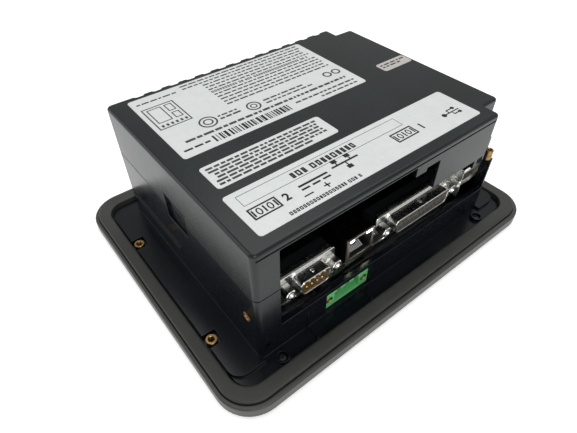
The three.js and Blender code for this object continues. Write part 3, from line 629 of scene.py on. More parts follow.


# The hollow depths paint near-black shade on the faces inside the cover (0.5 mm in) and the housing (3.8 mm
# in).
COVER_PLASTIC = moulded("cover_plastic", (0.011, 0.0145, 0.015), 0.27, 5200, 0.012, hollow=0.5,
                        IOR=1.5, Specular_IOR_Level=0.3)
HOUSING_PLASTIC = moulded("housing_plastic", (0.0035, 0.005, 0.0075), 0.22, 4800, 0.012, hollow=3.8,
                          IOR=1.5, Specular_IOR_Level=0.3)
BEZEL_PLASTIC = moulded("bezel_plastic", (0.042, 0.041, 0.038), 0.4, 3600, 0.03, IOR=1.48)
BLACK_PLASTIC = moulded("insulator_plastic", (0.006, 0.006, 0.007), 0.42, 3000, 0.02, 0.1)
GREY_PLASTIC = insulator("serial_insulator", (0.085, 0.08, 0.07), (0.008, 0.009, 0.010))
BROWN_PLASTIC = insulator("pin_insulator", (0.075, 0.040, 0.015), (0.008, 0.009, 0.010))
GREEN_PLASTIC = moulded("terminal_plastic", (0.15, 0.56, 0.21), 0.36, 2600, 0.02, 0.3)
TONGUE_PLASTIC = moulded("tongue_plastic", (0.20, 0.19, 0.16), 0.4, 2600, 0.02, 0.1)
CREAM_PLASTIC = moulded("cream_plastic", (0.62, 0.58, 0.47), 0.4, 2600, 0.02, 0.1)
BRIGHT_STEEL = plated("nickel_plate", (0.95, 0.95, 0.92), 0.24, (0.1, 1, 1), 1200, 0.002, 0.04)
DULL_STEEL = plated("zinc_plate", (0.52, 0.53, 0.54), 0.38, (0.08, 1, 1), 900, 0.012, 0.4)
# The tin plate is darkened behind the jack's front 0.9 mm: partly painted shade on its sides and top, partly
# its black body.
TIN_PLATE = plated("tin_plate", (0.88, 0.78, 0.72), 0.32, (0.2, 1, 1), 900, 0.01, 0.2, NETWORK.front + 0.9)
CONTACT_PLATE = moulded("contact_plate", (0.80, 0.81, 0.78), 0.28, 2600, 0.004, 0.1, Metallic=0.3)
GOLD_PLATE = plated("gold_plate", (1.0, 0.72, 0.30), 0.16, (1, 0.1, 1), 1500, 0.006, 0.2)
BRASS = plated("turned_brass", (0.34, 0.22, 0.09), 0.3, (1, 1, 0.1), 2200, 0.01, 0.35)
BLACK_STEEL = plated("black_oxide", (0.055, 0.057, 0.062), 0.35, (1, 1, 1), 1500, 0.01, 0.3)
ALUMINIUM = plated("anodised_aluminium", (0.42, 0.43, 0.44), 0.4, (1, 0.1, 1), 900, 0.01, 0.25)
RUBBER = sealing_rubber()
BOARD = circuit_board()
FILM = front_film()
GLASS = clear_glass()
LAMP = glowing("lamp_green", (0.80, 1.0, 0.66), 14.0)
WHITE_VINYL = vinyl("white_vinyl", (0.66, 0.685, 0.675))
SILVER_VINYL = vinyl("silver_vinyl", (0.50, 0.48, 0.45), 0.3)
DARK_INK = printed("dark_ink", (0.010, 0.011, 0.012))
GREY_INK = printed("grey_ink", (0.05, 0.054, 0.054))


# ---- bezel, seal and front film --------------------------------------------------------------

def bezel():
    """The frame as one closed skin, run round its section from the front face to the rear rim."""
    lip, edge, rim, plate, recess = 0.35, BEZEL.edge, BEZEL.rim, BEZEL.plate, OVERLAY.recess
    loops = loops_of(BEZEL, *reversed(arc(edge, edge, -1, 5)), *arc(rim - 0.7, 0.7, 1, 4))
    loops += loops_of(SEAT, (-lip, rim), (-0.1, rim - 0.1), (0, rim - lip), (0, plate + 0.1), (0.1, plate))
    loops += loops_of(WINDOW, (-0.2, plate), (0, plate - 0.2), (0, recess + 0.1), (-0.1, recess))
    loops += loops_of(OVERLAY, (0.1, recess), (0, recess - 0.1), (0, 0.25), (-0.25, 0))
    return build("bezel_frame", loft(loops, closed=True))


def seal():
    """The seal ring: soft outer edges and a shallow crown, from its outer to its inner side."""
    low, top = BEZEL.plate + 0.05, SEAL.top
    wide, deep, tighter = SEAL.x - SEAL.inner_x, SEAL.y - SEAL.inner_y, SEAL.inner_radius - SEAL.radius
    section = [
        (0.0, low), (0.0, top - 0.75), (0.012, top - 0.45), (0.045, top - 0.2), (0.10, top - 0.06),
        (0.20, top - 0.01), (0.50, top), (0.80, top - 0.01), (0.90, top - 0.06), (0.955, top - 0.2),
        (0.988, top - 0.45), (1.0, top - 0.75), (1.0, low),
    ]
    loops = []
    for share, z in section:
        line = Sizes(x=SEAL.x - wide * share, y=SEAL.y - deep * share, radius=SEAL.radius + tighter * share)
        loops += loops_of(line, (0, z))
    return build("seal_ring", loft(loops, closed=True))


def film():
    gap, edge = 0.3, 0.15

    def shape(inset):
        return outline_of(OVERLAY, gap + inset, 10)

    return build("front_film", soft_slab(shape, OVERLAY.front, OVERLAY.back, edge, 0, 2))


finish_piece(bezel(), BEZEL_PLASTIC, "bezel", "front_bezel")
finish_piece(seal(), RUBBER, "rubber", "panel_gasket")
finish_piece(film(), FILM, "overlay", "front_overlay")


# ---- lower half of the housing ---------------------------------------------------------------

def housing_outline(inset, steps=8):
    radius = max(HOUSING.radius - inset, 0.4)
    return rectangle(-HOUSING.x + inset, HOUSING.x - inset, HOUSING.near + inset,
                     HOUSING.far - inset, radius, steps)


def cover_outline(inset, steps=6):
    """The rear cover leaves a step free at both corners of its right-hand end."""
    outer, tight, hollow = max(HOUSING.radius - inset, 0.4), max(2 - inset, 0.5), 0.3 + inset * 0.2
    left, right, step = -HOUSING.x + inset, HOUSING.x - inset, NOTCH.x - inset
    near, far = HOUSING.near + inset, HOUSING.far - inset
    step_near, step_far = NOTCH.near + inset, NOTCH.far - inset
    return outline([
        (left, near, outer), (step, near, tight), (step, step_near, hollow), (right, step_near, tight),
        (right, step_far, tight), (step, step_far, hollow), (step, far, tight), (left, far, outer),
    ], steps)


def disc(x, y, radius, z0, z1, sides=32):
    return placed(turned([(radius, z0), (radius, z1)], sides), (x, y, 0))


def both_sides(x0, x1, *rest):
    """The same block on the left and on the right."""
    return [block(x0, x1, *rest), block(-x1, -x0, *rest)]


def through_near_wall(points):
    """A tool for an opening in the near wall, from its outline in X and Z."""
    return y_slab(points, HOUSING.near - 2, HOUSING.near + HOUSING.wall + 0.4)


def housing_corners(piece, rim):
    """The pads beside the cover's steps: a solid corner, hollowed from below, with free air above."""
    wall, near, far, x = HOUSING.wall, HOUSING.near, HOUSING.far, HOUSING.x
    for solid, hollow, free in (
        ((near + 0.5, NOTCH.near + wall), (near + wall, NOTCH.near + wall + 1), (near - 5, NOTCH.near)),
        ((NOTCH.far - wall, far - 0.5), (NOTCH.far - wall - 1, far - wall), (NOTCH.far, far + 5)),
    ):
        join(piece, block(NOTCH.x - wall, x - 0.5, *solid, 30, rim - 0.01))
        cut(piece, block(NOTCH.x - wall - 1, x - wall, *hollow, 29, NOTCH.pad - 1.6))
        cut(piece, block(NOTCH.x, x + 5, *free, NOTCH.pad, PARTING + 5))


def lower_housing():
    wall, near, far, x = HOUSING.wall, HOUSING.near, HOUSING.far, HOUSING.x
    rim, bottom, top = PARTING - 0.15, FLANGE.bottom, FLANGE.top

    def flange(inset):
        return outline_of(FLANGE, inset, 8)

    piece = build("lower_housing", soft_slab(flange, bottom, top, 0, 0.3, 2))
    for side in (-1, 1):
        inner, outer = side * (x - 1), side * (FLANGE.x + 0.02)
        corners = [(inner, SIDE_PLATE.near, 0.2), (outer, SIDE_PLATE.near, SIDE_PLATE.radius),
                   (outer, SIDE_PLATE.far, SIDE_PLATE.radius), (inner, SIDE_PLATE.far, 0.2)]
        join(piece, slab(outline(corners[::side], 6), bottom + 0.02, SIDE_PLATE.top))
    bosses = [(sx * BOSS.x, sy * BOSS.y) for sx in (-1, 1) for sy in (-1, 1)]
    join(piece, *[disc(bx, by, BOSS.radius - 0.02, bottom + 0.04, BOSS.top) for bx, by in bosses])
    join(piece, slab(housing_outline(0), bottom + 0.06, rim))
    cut(piece, slab(housing_outline(wall, 4), bottom + 1.4, rim + 1))
    # Ribs on the flange and up the near wall, the rail on the left wall and the board's four posts.
    ribs = [(rib - RIB.half, rib + RIB.half) for rib in RIB.places]
    join(piece, *[block(*rib, -FLANGE.y + 0.8, near + 1, bottom + 0.3, top + 0.7) for rib in ribs])
    join(piece, block(*ribs[0], near - 0.6, near + 1, bottom + 0.3, RIB.wall_top))
    join(piece, block(-x - 0.8, -x + 1, RAIL.near, far - 4, RAIL.bottom, RAIL.top))
    posts = [(px, py) for px in (-POST.x, POST.x) for py in (POST.near, POST.far)]
    join(piece, *[disc(*post, 2, bottom + 1, POST.top, 20) for post in posts])
    housing_corners(piece, rim)
    cut(piece, slab(rectangle(-WINDOW.x - 3.4, WINDOW.x + 3.4, WINDOW.centre_y - WINDOW.y - 3.4,
                              WINDOW.centre_y + WINDOW.y + 3.4, 2, 4), bottom - 1, top + 2))
    cut(piece, through_near_wall(rectangle(PORTS.left, PORTS.right, PORTS.sill, PARTING + 9, 0.8, 4)))
    left, right = POWER.x - POWER.width / 2, POWER.x + POWER.width / 2
    inlet = rectangle(left - 0.5, right + 0.5, POWER.bottom - 0.4, POWER_PLACE.opening_top, 0.5, 3)
    cut(piece, through_near_wall(inlet))
    inside = near + wall - 0.5
    join(piece, block(PORTS.left + 0.1, PORTS.right - 0.1, inside, near + wall + PORTS.lip_depth,
                      PORTS.sill - PORTS.lip, PORTS.sill - 0.01))
    # A shelf of housing plastic over the power inlet, put there so that the header's top and the space behind
    # it lie in shade.
    beside = POWER_PLACE.shelf_side
    join(piece, block(left - beside, right + beside, inside, POWER_PLACE.shelf_inner, *SHADE_SHELF))
    pocket = INSERT.pocket
    for side in (-1, 1):
        ends = sorted((side * (INSERT.x - pocket), side * 92))
        cut(piece, *[block(*ends, y - pocket, y + pocket, bottom - 1, 8) for y in (INSERT.near, INSERT.far)])
    cut(piece, *both_sides(x - CLIP.depth, x + 2, CLIP.start, CLIP.end, CLIP.bottom, PARTING + 5))
    side_hole = turned([(SIDE_HOLE.radius, -4), (SIDE_HOLE.radius, 4)], 28)
    cut(piece, *[placed(side_hole, (side * SIDE_HOLE.x, SIDE_HOLE.y, SIDE_HOLE.z), (0, 90, 0))
                 for side in (-1, 1)])
    pilot_hole = turned([(PILOT_HOLE.radius, -2), (PILOT_HOLE.radius, 4)], 24)
    cut(piece, facing_ports(pilot_hole, PILOT_HOLE.x, near, PILOT_HOLE.z))
    for bx, by in bosses:
        cut(piece, disc(bx, by, BOSS.bore, top, BOSS.top + 1))
        cut(piece, disc(bx, by, BOSS.bore - 0.8, bottom - 1, top + 1, 20))
    return soften(piece, 0.22)


def rear_shell():
    """The cover: rounded outer edges, the vents along its far wall, the bay and the clip slots."""
    low, wall, near, far, x = PARTING + 0.15, HOUSING.wall, HOUSING.near, HOUSING.far, HOUSING.x
    piece = build("rear_shell", soft_slab(cover_outline, low, TOP, 0, 1.5, 6))
    cut(piece, slab(cover_outline(wall, 4), low - 1, TOP - 2.6))
    cut(piece, through_near_wall(outline([
        (PORTS.left, low - 3, 0.3), (BAY.right, low - 3, 0.3), (BAY.right, BAY.step_top, 0.4),
        (BAY.step_x, BAY.step_top, 0.3), (BAY.step_x, BAY.tab_bottom, 0.4),
        (BAY.tab_x, BAY.tab_bottom, 0.4), (BAY.tab_x, BAY.top, 0.4), (PORTS.left, BAY.top, 0.6),
    ], 3)))
    cut(piece, through_near_wall(rectangle(BAY.right - 1, NOTCH.x - wall, low - 3, PORTS.rail, 0.4, 3)))
    groove = rectangle(-x + 1.6, NOTCH.x - 1.5, BAY.top + 0.6, BAY.top + 1.35, 0.2, 3)
    cut(piece, y_slab(groove, near - 1, near + 0.55))
    half = VENT.width / 2
    channel = slab(rectangle(-half, half, -VENT.depth, 3, 1.2, 5), VENT.bottom, TOP + 1)
    slot_shape = slab(rectangle(-1.3, 1.3, -wall - 1, 1, 0.6, 4), VENT.bottom + 2, TOP - 4.6)
    for tool in (channel, slot_shape):
        vents = row("tool", [tool], VENT.count, (VENT.first, far, 0), (VENT.pitch, 0, 0))
        combine(piece, "DIFFERENCE", vents)
    cut(piece, *both_sides(x - CLIP.depth, x + 2, CLIP.start, CLIP.end, low - 1, CLIP.top))
    join(piece, block(NOTCH.x - wall, x - 2.4, NOTCH.near - 4.4, NOTCH.near + 0.5, low + 0.01, PARTING + 6.5))
    posts = ((-60, -46), (-60, 46), (50, 40), (50, -40))
    join(piece, *[disc(px, py, 3.2, PARTING + 4, TOP - 2, 20) for px, py in posts])
    cut(piece, block(NOTCH.x, x - wall, NOTCH.near - 3, NOTCH.near + 1, low - 1, PARTING + 5))
    return soften(piece, 0.22)


finish_piece(lower_housing(), HOUSING_PLASTIC, "housing", "main_housing")
finish_piece(rear_shell(), COVER_PLASTIC, "cover", "rear_cover")


# ---- labels and their generic print ----------------------------------------------------------

LABEL_BACK, LABEL_FACE, INK_FACE = TOP + 0.03, TOP + 0.2, TOP + 0.225
SUNK = 0.02  # how far the print reaches into its label
LABELS = {
    "rating_label": (-63, 35.6, 0.5, 53.2, WHITE_VINYL, "label"),
    "notice_label": (-62.1, -3.4, -22.4, -7.8, WHITE_VINYL, "label"),
    "port_label": (-64, 54, -50.4, -26.9, WHITE_VINYL, "label"),
    "serial_label": (49.8, 69.3, 1.3, 9, SILVER_VINYL, "silver"),
}
for label, (x0, x1, y0, y1, stock, slot_name) in LABELS.items():
    def edge_at(inset, x0=x0, x1=x1, y0=y0, y1=y1):
        return rectangle(x0 + inset, x1 - inset, y0 + inset, y1 - inset, 1.5 - inset, 6)
    finish_piece(build(label + "_stock", soft_slab(edge_at, LABEL_BACK, LABEL_FACE, 0, 0.1, 2)),
                 stock, slot_name, label)


def bar(x0, x1, y0, y1):
    return block(x0, x1, y0, y1, LABEL_FACE - SUNK, INK_FACE)


def bars(*edges):
    return [bar(*edge) for edge in edges]


def stroke(outer, inner):
    """A drawn line that fills the space between two outlines."""
    low, high = LABEL_FACE - SUNK, INK_FACE
    section = ((outer, low), (outer, high), (inner, high), (inner, low))
    return loft([at_height(points, z) for points, z in section], closed=True)


def box_line(x0, x1, y0, y1, width):
    inner = rectangle(x0 + width, x1 - width, y0 + width, y1 - width, 0.05, 1)
    return stroke(rectangle(x0, x1, y0, y1, 0.05, 1), inner)


def oval_line(x, y, half, tall, width, sides=36):
    return stroke(oval(x, y, half, tall, sides), oval(x, y, half - width, tall - width, sides))


def circle_line(x, y, radius, width):
    return oval_line(x, y, radius, radius, width)


def text_bars(x0, x1, y, height, seed, longest=5.0, gap=0.9):
    """A line of print as plain word-length bars."""
    words, x, k = [], x0, seed
    while x < x1 - 1.0:
        k = (k * 37 + 11) % 101
        length = 1.2 + (longest - 1.2) * k / 100
        end = min(x + length, x1)
        words.append(bar(x, end, y, y + height))
        x = end + gap
    return words


def letters(x0, x1, y, height, seed):
    """A line of print as letter-sized blocks with gaps between its words."""
    blocks, x, k = [], x0, seed
    while x + height * 0.6 < x1:
        k = (k * 37 + 11) % 101
        wide = height * (0.5 + 0.2 * (k % 3) / 2)
        blocks.append(box_line(x, x + wide, y, y + height, height * 0.24))
        x += wide + height * (0.75 if k % 6 == 0 else 0.24)
    return blocks


def rating_print():
    """Eleven lines of print with a heading, a small drawing, ringed marks and three lines below them."""
    shapes = []
    for i in range(11):
        y, left = 50.6 - i * 2.65, -37.5 if i < 2 else -28
        if i == 5:
            shapes += letters(left, 30, y - 0.3, 1.7, 5)
        else:
            shapes += text_bars(left, 32.5, y, 1.0, 5 + i, 4.2, 0.7)
    drawing = ((-61, -45.7, 24, 43.2, 0.6), (-59.2, -52.5, 29, 41.5, 0.5),
               (-51, -47.4, 35.5, 41.5, 0.5), (-51, -47.4, 29, 34, 0.5))
    shapes += [box_line(*edges) for edges in drawing]
    shapes += bars(*[(-59.2 + i * 2.2, -58.1 + i * 2.2, 25.4, 27.2) for i in range(6)])
    shapes += text_bars(-60.6, -41, 47.6, 1.0, 3, 4, 0.7)
    rings = ((-42.2, 17.4, 4.2, 0.8), (-42.2, 17.4, 2.3, 0.7), (-19.7, 15.9, 3.5, 0.8),
             (-19.7, 15.9, 1.7, 0.6), (25.0, 17.2, 2.4, 0.9), (30.4, 17.0, 2.4, 0.9))
    shapes += [circle_line(*place) for place in rings]
    for x0, x1, y, height, seed in (
        (-36.8, -27, 18.0, 1.0, 8), (-36.8, -25.5, 15.6, 1.2, 17), (-13.8, 10, 16.4, 1.1, 21),
        (-13.8, 14, 13.9, 1.0, 29), (-3.6, 32, 5.6, 1.1, 37), (9.4, 31.6, 2.8, 1.0, 41),
    ):
        shapes += text_bars(x0, x1, y, height, seed, 4, 0.7)
    return shapes + text_bars(-57, 30.5, 9.6, 1.5, 13, 5, 0.7)


def code_strip():
    """A strip of upright bars in four widths."""
    shapes, x, k = [], -46.8, 7
    while x < -8.4:
        k = (k * 29 + 17) % 97
        width = (0.35, 0.6, 0.9, 1.3)[k % 4]
        shapes.append(bar(x, x + width, 2.9, 7.6))
        x += width + (0.4, 0.7, 1.0)[k % 3]
    return shapes + text_bars(-60.5, -48.6, 4.6, 1.1, 5, 4)


def notice_print():
    """Six lines of print: the third and fourth begin further in and the last one is shorter."""
    shapes = []
    for i in range(6):
        left, right = -60.2 + (1.6 if i in (2, 3) else 0), -6.5 - (9 if i == 5 else 0)
        shapes += text_bars(left, right, -10.7 - i * 2.05, 1.15, 31 + i, 5, 0.7)
    return shapes


def serial_icon(x, width):
    """A frame round two ovals and three strokes, as on a serial port's symbol."""
    shapes = [box_line(x, x + width, -43.4, -37.4, 0.7)]
    for k, share in enumerate((0.11, 0.305, 0.5, 0.695, 0.89)):
        middle = x + width * share
        if k % 2:
            shapes.append(oval_line(middle, -40.4, 1.15, 1.8, 0.55, 24))
        else:
            shapes.append(bar(middle - 0.35, middle + 0.35, -42.1, -38.7))
    return shapes


def port_print():
    """Symbols of the two serial ports, direct current, the network and USB, with two lines of print."""
    shapes = serial_icon(-60.8, 11.9) + serial_icon(9.6, 12.2)
    shapes += letters(-37.3, -5, -34.3, 3.2, 12) + letters(-50, -16.2, -48.9, 1.7, 9)
    direct_current = [(-39.1, -25.4, -39.6, -38.6)]
    direct_current += [(-39.1 + i * 5, -35.4 + i * 5, -41.6, -40.7) for i in range(3)]
    direct_current += [(-40.6, -36.4, -44.7, -44.1), (-31.5, -28.5, -44.7, -44.1),
                       (-30.3, -29.7, -45.9, -42.9)]
    network = [(-22.6, -9.1, -39.0, -38.1), (-16.2, -15.6, -40.8, -38.7)]
    network += [(x - 0.3, x + 0.3, -38.3, -36.9) for x in (-19.5, -12.8)]
    network += [(x - 1.3, x + 1.3, y, y + 2.0) for x, y in ((-19.5, -37.0), (-12.8, -37.0), (-15.9, -42.7))]
    usb = [(40.2, 49.2, -42.2, -41.6), (43.2, 46.4, -40.3, -39.7), (42.8, 43.4, -42.0, -39.8)]
    usb += [(44.6, 47.2, -44.0, -43.4), (44.2, 44.8, -44.0, -42.0), (47.2, 48.8, -44.5, -42.9)]
    shapes += bars(*direct_current, *network, *usb)
    return shapes + [circle_line(39.6, -41.9, 1.2, 1.15), circle_line(47.2, -40.0, 0.95, 0.9)]


def digit(name, body, x, y, size):
    text = bpy.data.curves.new(name, "FONT")
    text.body = body
    text.size = size * MM
    text.extrude = 0.012 * MM
    text.offset = 0.17 * MM
    flat = bpy.data.objects.new(name + "_text", text)
    bpy.context.scene.collection.objects.link(flat)
    bpy.context.view_layer.update()
    mesh = bpy.data.meshes.new_from_object(flat.evaluated_get(bpy.context.evaluated_depsgraph_get()))
    bpy.data.objects.remove(flat)
    mesh.transform(Matrix.Translation((x * MM, y * MM, (LABEL_FACE + 0.01) * MM)))
    piece = bpy.data.objects.new(name, mesh)
    bpy.context.scene.collection.objects.link(piece)
    return piece


for piece, ink, slot_name in (
    (build("rating_print", *rating_print()), GREY_INK, "label"),
    (build("code_print", *code_strip()), DARK_INK, "label"),
    (build("notice_print", *notice_print()), GREY_INK, "label"),
    (build("port_print", *port_print()), DARK_INK, "label"),
    (build("port_frame_print", box_line(-60, 20.5, -35.4, -29.5, 0.22)), GREY_INK, "label"),
    (digit("port_two", "2", -46.8, -42.2, 5.2), DARK_INK, "label"),
    (digit("port_one", "1", 24.4, -42.6, 5.2), DARK_INK, "label"),
    (build("serial_print", *text_bars(51.2, 67.8, 6.2, 0.9, 3, 4), *text_bars(51.2, 64, 4.2, 0.9, 11, 4)),
     DARK_INK, "silver"),
):
    finish_piece(piece, ink, slot_name, angle=20)


# ---- serial ports ----------------------------------------------------------------------------

def d_outline(x, width, height, radius, steps=6):
    """The D-shaped outline of a serial connector in X and Z, wide side up."""
    lean = height * math.tan(math.radians(10))
    left, right = x - width / 2, x + width / 2
    low, high = SERIAL.z - height / 2, SERIAL.z + height / 2
    return outline([(left + lean, low, radius), (right - lean, low, radius),
                    (right, high, radius), (left, high, radius)], steps)


def serial_shell(port):
    """Plated shell: a drawn D-shaped skirt with a flared root, a flange folded at its edges and a dimple."""
    x, z, front, nose, sheet = port.x, SERIAL.z, SERIAL.flange, SERIAL.nose, SERIAL.sheet
    half, tall = port.flange / 2, SERIAL.flange_height / 2

    def skirt_at(grow, y):
        return [(px, y, pz) for px, pz in d_outline(x, port.shell + 2 * grow, 8.4 + 2 * grow, 2.2 + grow)]

    def plate_at(inset, y):
        return [(px, y, pz) for px, pz in rectangle(x - half + inset, x + half - inset, z - tall + inset,
                                                    z + tall - inset, 1.5 - inset, 6)]

    lip = [(-0.5, nose + 0.15), (-0.42, nose + 0.04), (-0.25, nose), (-0.08, nose + 0.04), (0, nose + 0.2)]
    root = [(0, front - 0.9), (0.1, front - 0.45), (0.35, front - 0.12), (0.8, front),
            (0.8, front + sheet), (-0.5, front + sheet)]
    piece = build(port.name + "_skirt", loft([skirt_at(grow, y) for grow, y in lip + root], closed=True))
    plate = [plate_at(inset, front - 0.01 + y) for inset, y in ((0.35, 0), (0.1, 0.1), (0, 0.35))]
    join(piece, loft(plate + [plate_at(0, front + sheet + 0.01)]))
    cut(piece, y_slab(d_outline(x, port.shell - 1, 7.4, 1.8), nose - 1, front + 2))
    hole = turned([(1.6, -2), (1.6, 4)], 24)
    cut(piece, *[facing_ports(hole, x + side * port.screws / 2, front, z) for side in (-1, 1)])
    top, bottom, behind = z + tall, z - tall, front + 3.0
    upper = block(x - half + 1.83, x + half - 1.79, front + 0.32, behind, top - 0.58, top - 0.05)
    lower = block(x - half + 1.81, x + half - 1.77, front + 0.34, behind, bottom + 0.06, bottom + 0.55)
    dimple = turned([(0.96, 0), (0.75, 0.4), (0.3, 0.5)], 20)
    join(piece, upper, lower, placed(dimple, (x + 0.13, (front + nose) / 2 + 0.07, z + 3.96)))
    return soften(piece, 0.18, 3)


def contact_rows(port, y):
    """The number of contacts in each of a port's two rows, and the place of the first one."""
    return [(count, (port.x - (count - 1) / 2 * PIN_PITCH, y, SERIAL.z + rise))
            for count, rise in zip(port.rows, (1.42, -1.42))]


def serial_insulator(port, has_pins):
    x, z, front, nose, sheet = port.x, SERIAL.z, SERIAL.flange, SERIAL.nose, SERIAL.sheet
    face, back = front - 1 if has_pins else nose + 0.4, front + sheet
    piece = build(port.name + "_insulator", y_slab(d_outline(x, port.shell - 1.4, 7, 1.6), face, back + 1))
    join(piece, block(x - port.flange / 2 + 0.6, x + port.flange / 2 - 0.6, back + 0.05,
                      SERIAL.back, z - 5.9, z + 4.95))
    hole = turned([(1.5, 0), (1.5, 5.5)], 20)
    cut(piece, *[facing_ports(hole, x + side * port.screws / 2, front, z) for side in (-1, 1)])
    if not has_pins:
        hole = turned([(0.72, -1), (0.72, 0.05), (0.55, 0.35), (0.55, 2.4)], 14)
        for count, start in contact_rows(port, face):
            holes = row("tool", [facing_ports(hole, 0, 0, 0)], count, start, (PIN_PITCH, 0, 0))
            combine(piece, "DIFFERENCE", holes)
    return soften(piece, 0.12, 2)


def serial_contacts(port, has_pins):
    """Round-nosed gold pins, or gold sleeves just inside the holes of the wider port."""
    if has_pins:
        kind, shape = "pins", turned([(0.16, 0), (0.34, 0.12), (0.46, 0.34), (0.5, 0.62), (0.5, 5.4)], 14)
    else:
        kind, shape = "sleeves", turned([(0.52, 0.5), (0.52, 2.3), (0.36, 2.3), (0.36, 0.5)], 12, True)
    return merge(f"{port.name}_{kind}", [
        row(kind, [facing_ports(shape, 0, 0, 0)], count, start, (PIN_PITCH, 0, 0), GOLD_PLATE)
        for count, start in contact_rows(port, SERIAL.nose + (0.8 if has_pins else 0.4))])


def hexagon(across, z, chamfered=False):
    """A six-sided loop in 24 steps, its corners drawn in where it is chamfered."""
    loop = []
    for i in range(24):
        angle = 2 * math.pi * i / 24
        radius = across * (math.cos(math.radians(30)) / math.cos(angle % math.radians(60) - math.radians(30)))
        radius = min(radius, across * 0.93) if chamfered else radius
        loop.append((radius * math.cos(angle), radius * math.sin(angle), z))
    return loop


def jack_screws(port):
    """Hexagonal jackscrews: chamfered ends, a threaded bore and the stud behind the flange."""
    across = 2.88
    loops = [circle(1.2, 0.45), circle(1.45, 0.06), circle(2.2, 0), hexagon(across, 0.35, True)]
    loops += [hexagon(across, 0.7), hexagon(across, 4.7), hexagon(across, 4.95, True), circle(2.3, 5.04)]
    loops += [circle(1.35, 5.04), circle(1.35, 9.2), circle(1.0, 9.4)]
    depth, rise = 3.5, 0.22
    thread = [circle(1.2 - 0.16 * (k % 2), 0.45 + k * rise) for k in range(1, int(depth / rise))]
    loops = [circle(0.9, 3.7)] + thread[::-1] + loops
    step = (port.screws, 0, 0)
    start = (port.x - port.screws / 2, SERIAL.flange - 5.1, SERIAL.z)
    return row(port.name + "_jackscrews", [facing_ports(loft(loops), 0, 0, 0)], 2, start, step, BRIGHT_STEEL)


for port, insulator in ((PORT_9, BROWN_PLASTIC), (PORT_25, GREY_PLASTIC)):
    name, has_pins = port.name, port is PORT_9
    finish_piece(serial_shell(port), BRIGHT_STEEL, "steel", name + "_shell")
    finish_piece(serial_insulator(port, has_pins), insulator, "black", name + "_insert")
    finish_piece(serial_contacts(port, has_pins), None, "brass", name + "_insert")
    finish_piece(jack_screws(port), None, "steel", name + "_jack_screw_1", name + "_jack_screw_2", angle=30)


# ---- network jack ----------------------------------------------------------------------------

def network_shield():
    left, right, front, back = NETWORK.left, NETWORK.right, NETWORK.front, NETWORK.back
    bottom, top = NETWORK.bottom, NETWORK.top

    def shell_at(inset):
        return rectangle(left + inset, right - inset, bottom + inset, top - inset, max(0.7 - inset, 0.15), 5)

    piece = build("network_shield", y_slab(shell_at(0), front, back))
    window = rectangle(left + 1.2, right - 1.2, bottom + 3, top - 0.9, 0.3, 3)
    cut(piece, y_slab(shell_at(0.4), front + 0.4, back - 0.4), y_slab(window, front - 1, front + 1))
    for z in (22, 27):
        cut(piece, block(left - 1, left + 0.3, front + 4, front + 9, z, z + 0.5))
        cut(piece, block(right - 0.3, right + 1, front + 4, front + 9, z, z + 0.5))
    cut(piece, block(left + 4, left + 6, front + 3, front + 8, top - 0.2, top + 1))
    cut(piece, block(right - 6, right - 4, front + 3, front + 8, top - 0.2, top + 1))
    return soften(piece, 0.12, 2)


def network_block():
    x, front = (NETWORK.left + NETWORK.right) / 2, NETWORK.front
    body = block(NETWORK.left + 0.6, NETWORK.right - 0.6, front + 0.6, NETWORK.back - 0.6,
                 NETWORK.bottom + 0.5, NETWORK.top - 0.6)
    mouth = rectangle(x - MOUTH.half, x + MOUTH.half, MOUTH.bottom, MOUTH.top, 0.2, 2)
    piece = build("network_block", body)
    cut(piece, y_slab(mouth, front - 1, front + 12))
    cut(piece, block(x - 3, x + 3, front - 1, front + 9, MOUTH.top - 1, MOUTH.latch))
    for side in (-1, 1):
        lamp = x + side * LAMPS.offset
        cut(piece, block(lamp - 2, lamp + 2, front - 1, front + 3, LAMPS.bottom - 0.2, LAMPS.top + 0.2))
    return soften(piece, 0.1, 2)


def network_contacts():
    """Eight bent spring wires that slope up into the jack."""
    x, pitch, half, thin = (NETWORK.left + NETWORK.right) / 2, 1.02, 0.27, 0.17
    path = [(2.2, 21.75), (3.0, 22.0), (8.5, 24.6), (11.6, 25.6), (12.1, 25.6)]
    corners = ((-half, -thin), (half, -thin), (half, thin), (-half, thin))
    wire = loft([[(px, y, z + pz) for px, pz in corners] for y, z in path])
    start = (x - 3.5 * pitch, NETWORK.front, 0)
    return row("network_contacts", [wire], 8, start, (pitch, 0, 0), CONTACT_PLATE)


def lamp_lens(side):
    x, front = (NETWORK.left + NETWORK.right) / 2 + side * LAMPS.offset, NETWORK.front
    middle = (LAMPS.bottom + LAMPS.top) / 2
    shape = rectangle(x - LAMPS.half, x + LAMPS.half, LAMPS.bottom, LAMPS.top, 0.4, 4)
    loops = [[(x + (px - x) * share, front + y, middle + (pz - middle) * share) for px, pz in shape]
             for share, y in ((0.5, 0.42), (0.82, 0.5), (0.96, 0.7), (1, 1.0), (1, 2.8))]
    return build("network_lens_" + ("left" if side < 0 else "right"), loft(loops))


finish_piece(network_shield(), TIN_PLATE, "steel", "network_jack_shell")
finish_piece(network_block(), BLACK_PLASTIC, "black", "network_jack_insert")
finish_piece(network_contacts(), None, "brass", "network_jack_insert")
finish_piece(lamp_lens(-1), LAMP, "lamp", "network_lamp_1")
finish_piece(lamp_lens(1), LAMP, "lamp", "network_lamp_2")


# ---- USB ports -------------------------------------------------------------------------------

USB_MOUTHS = (20.9, 28.8)


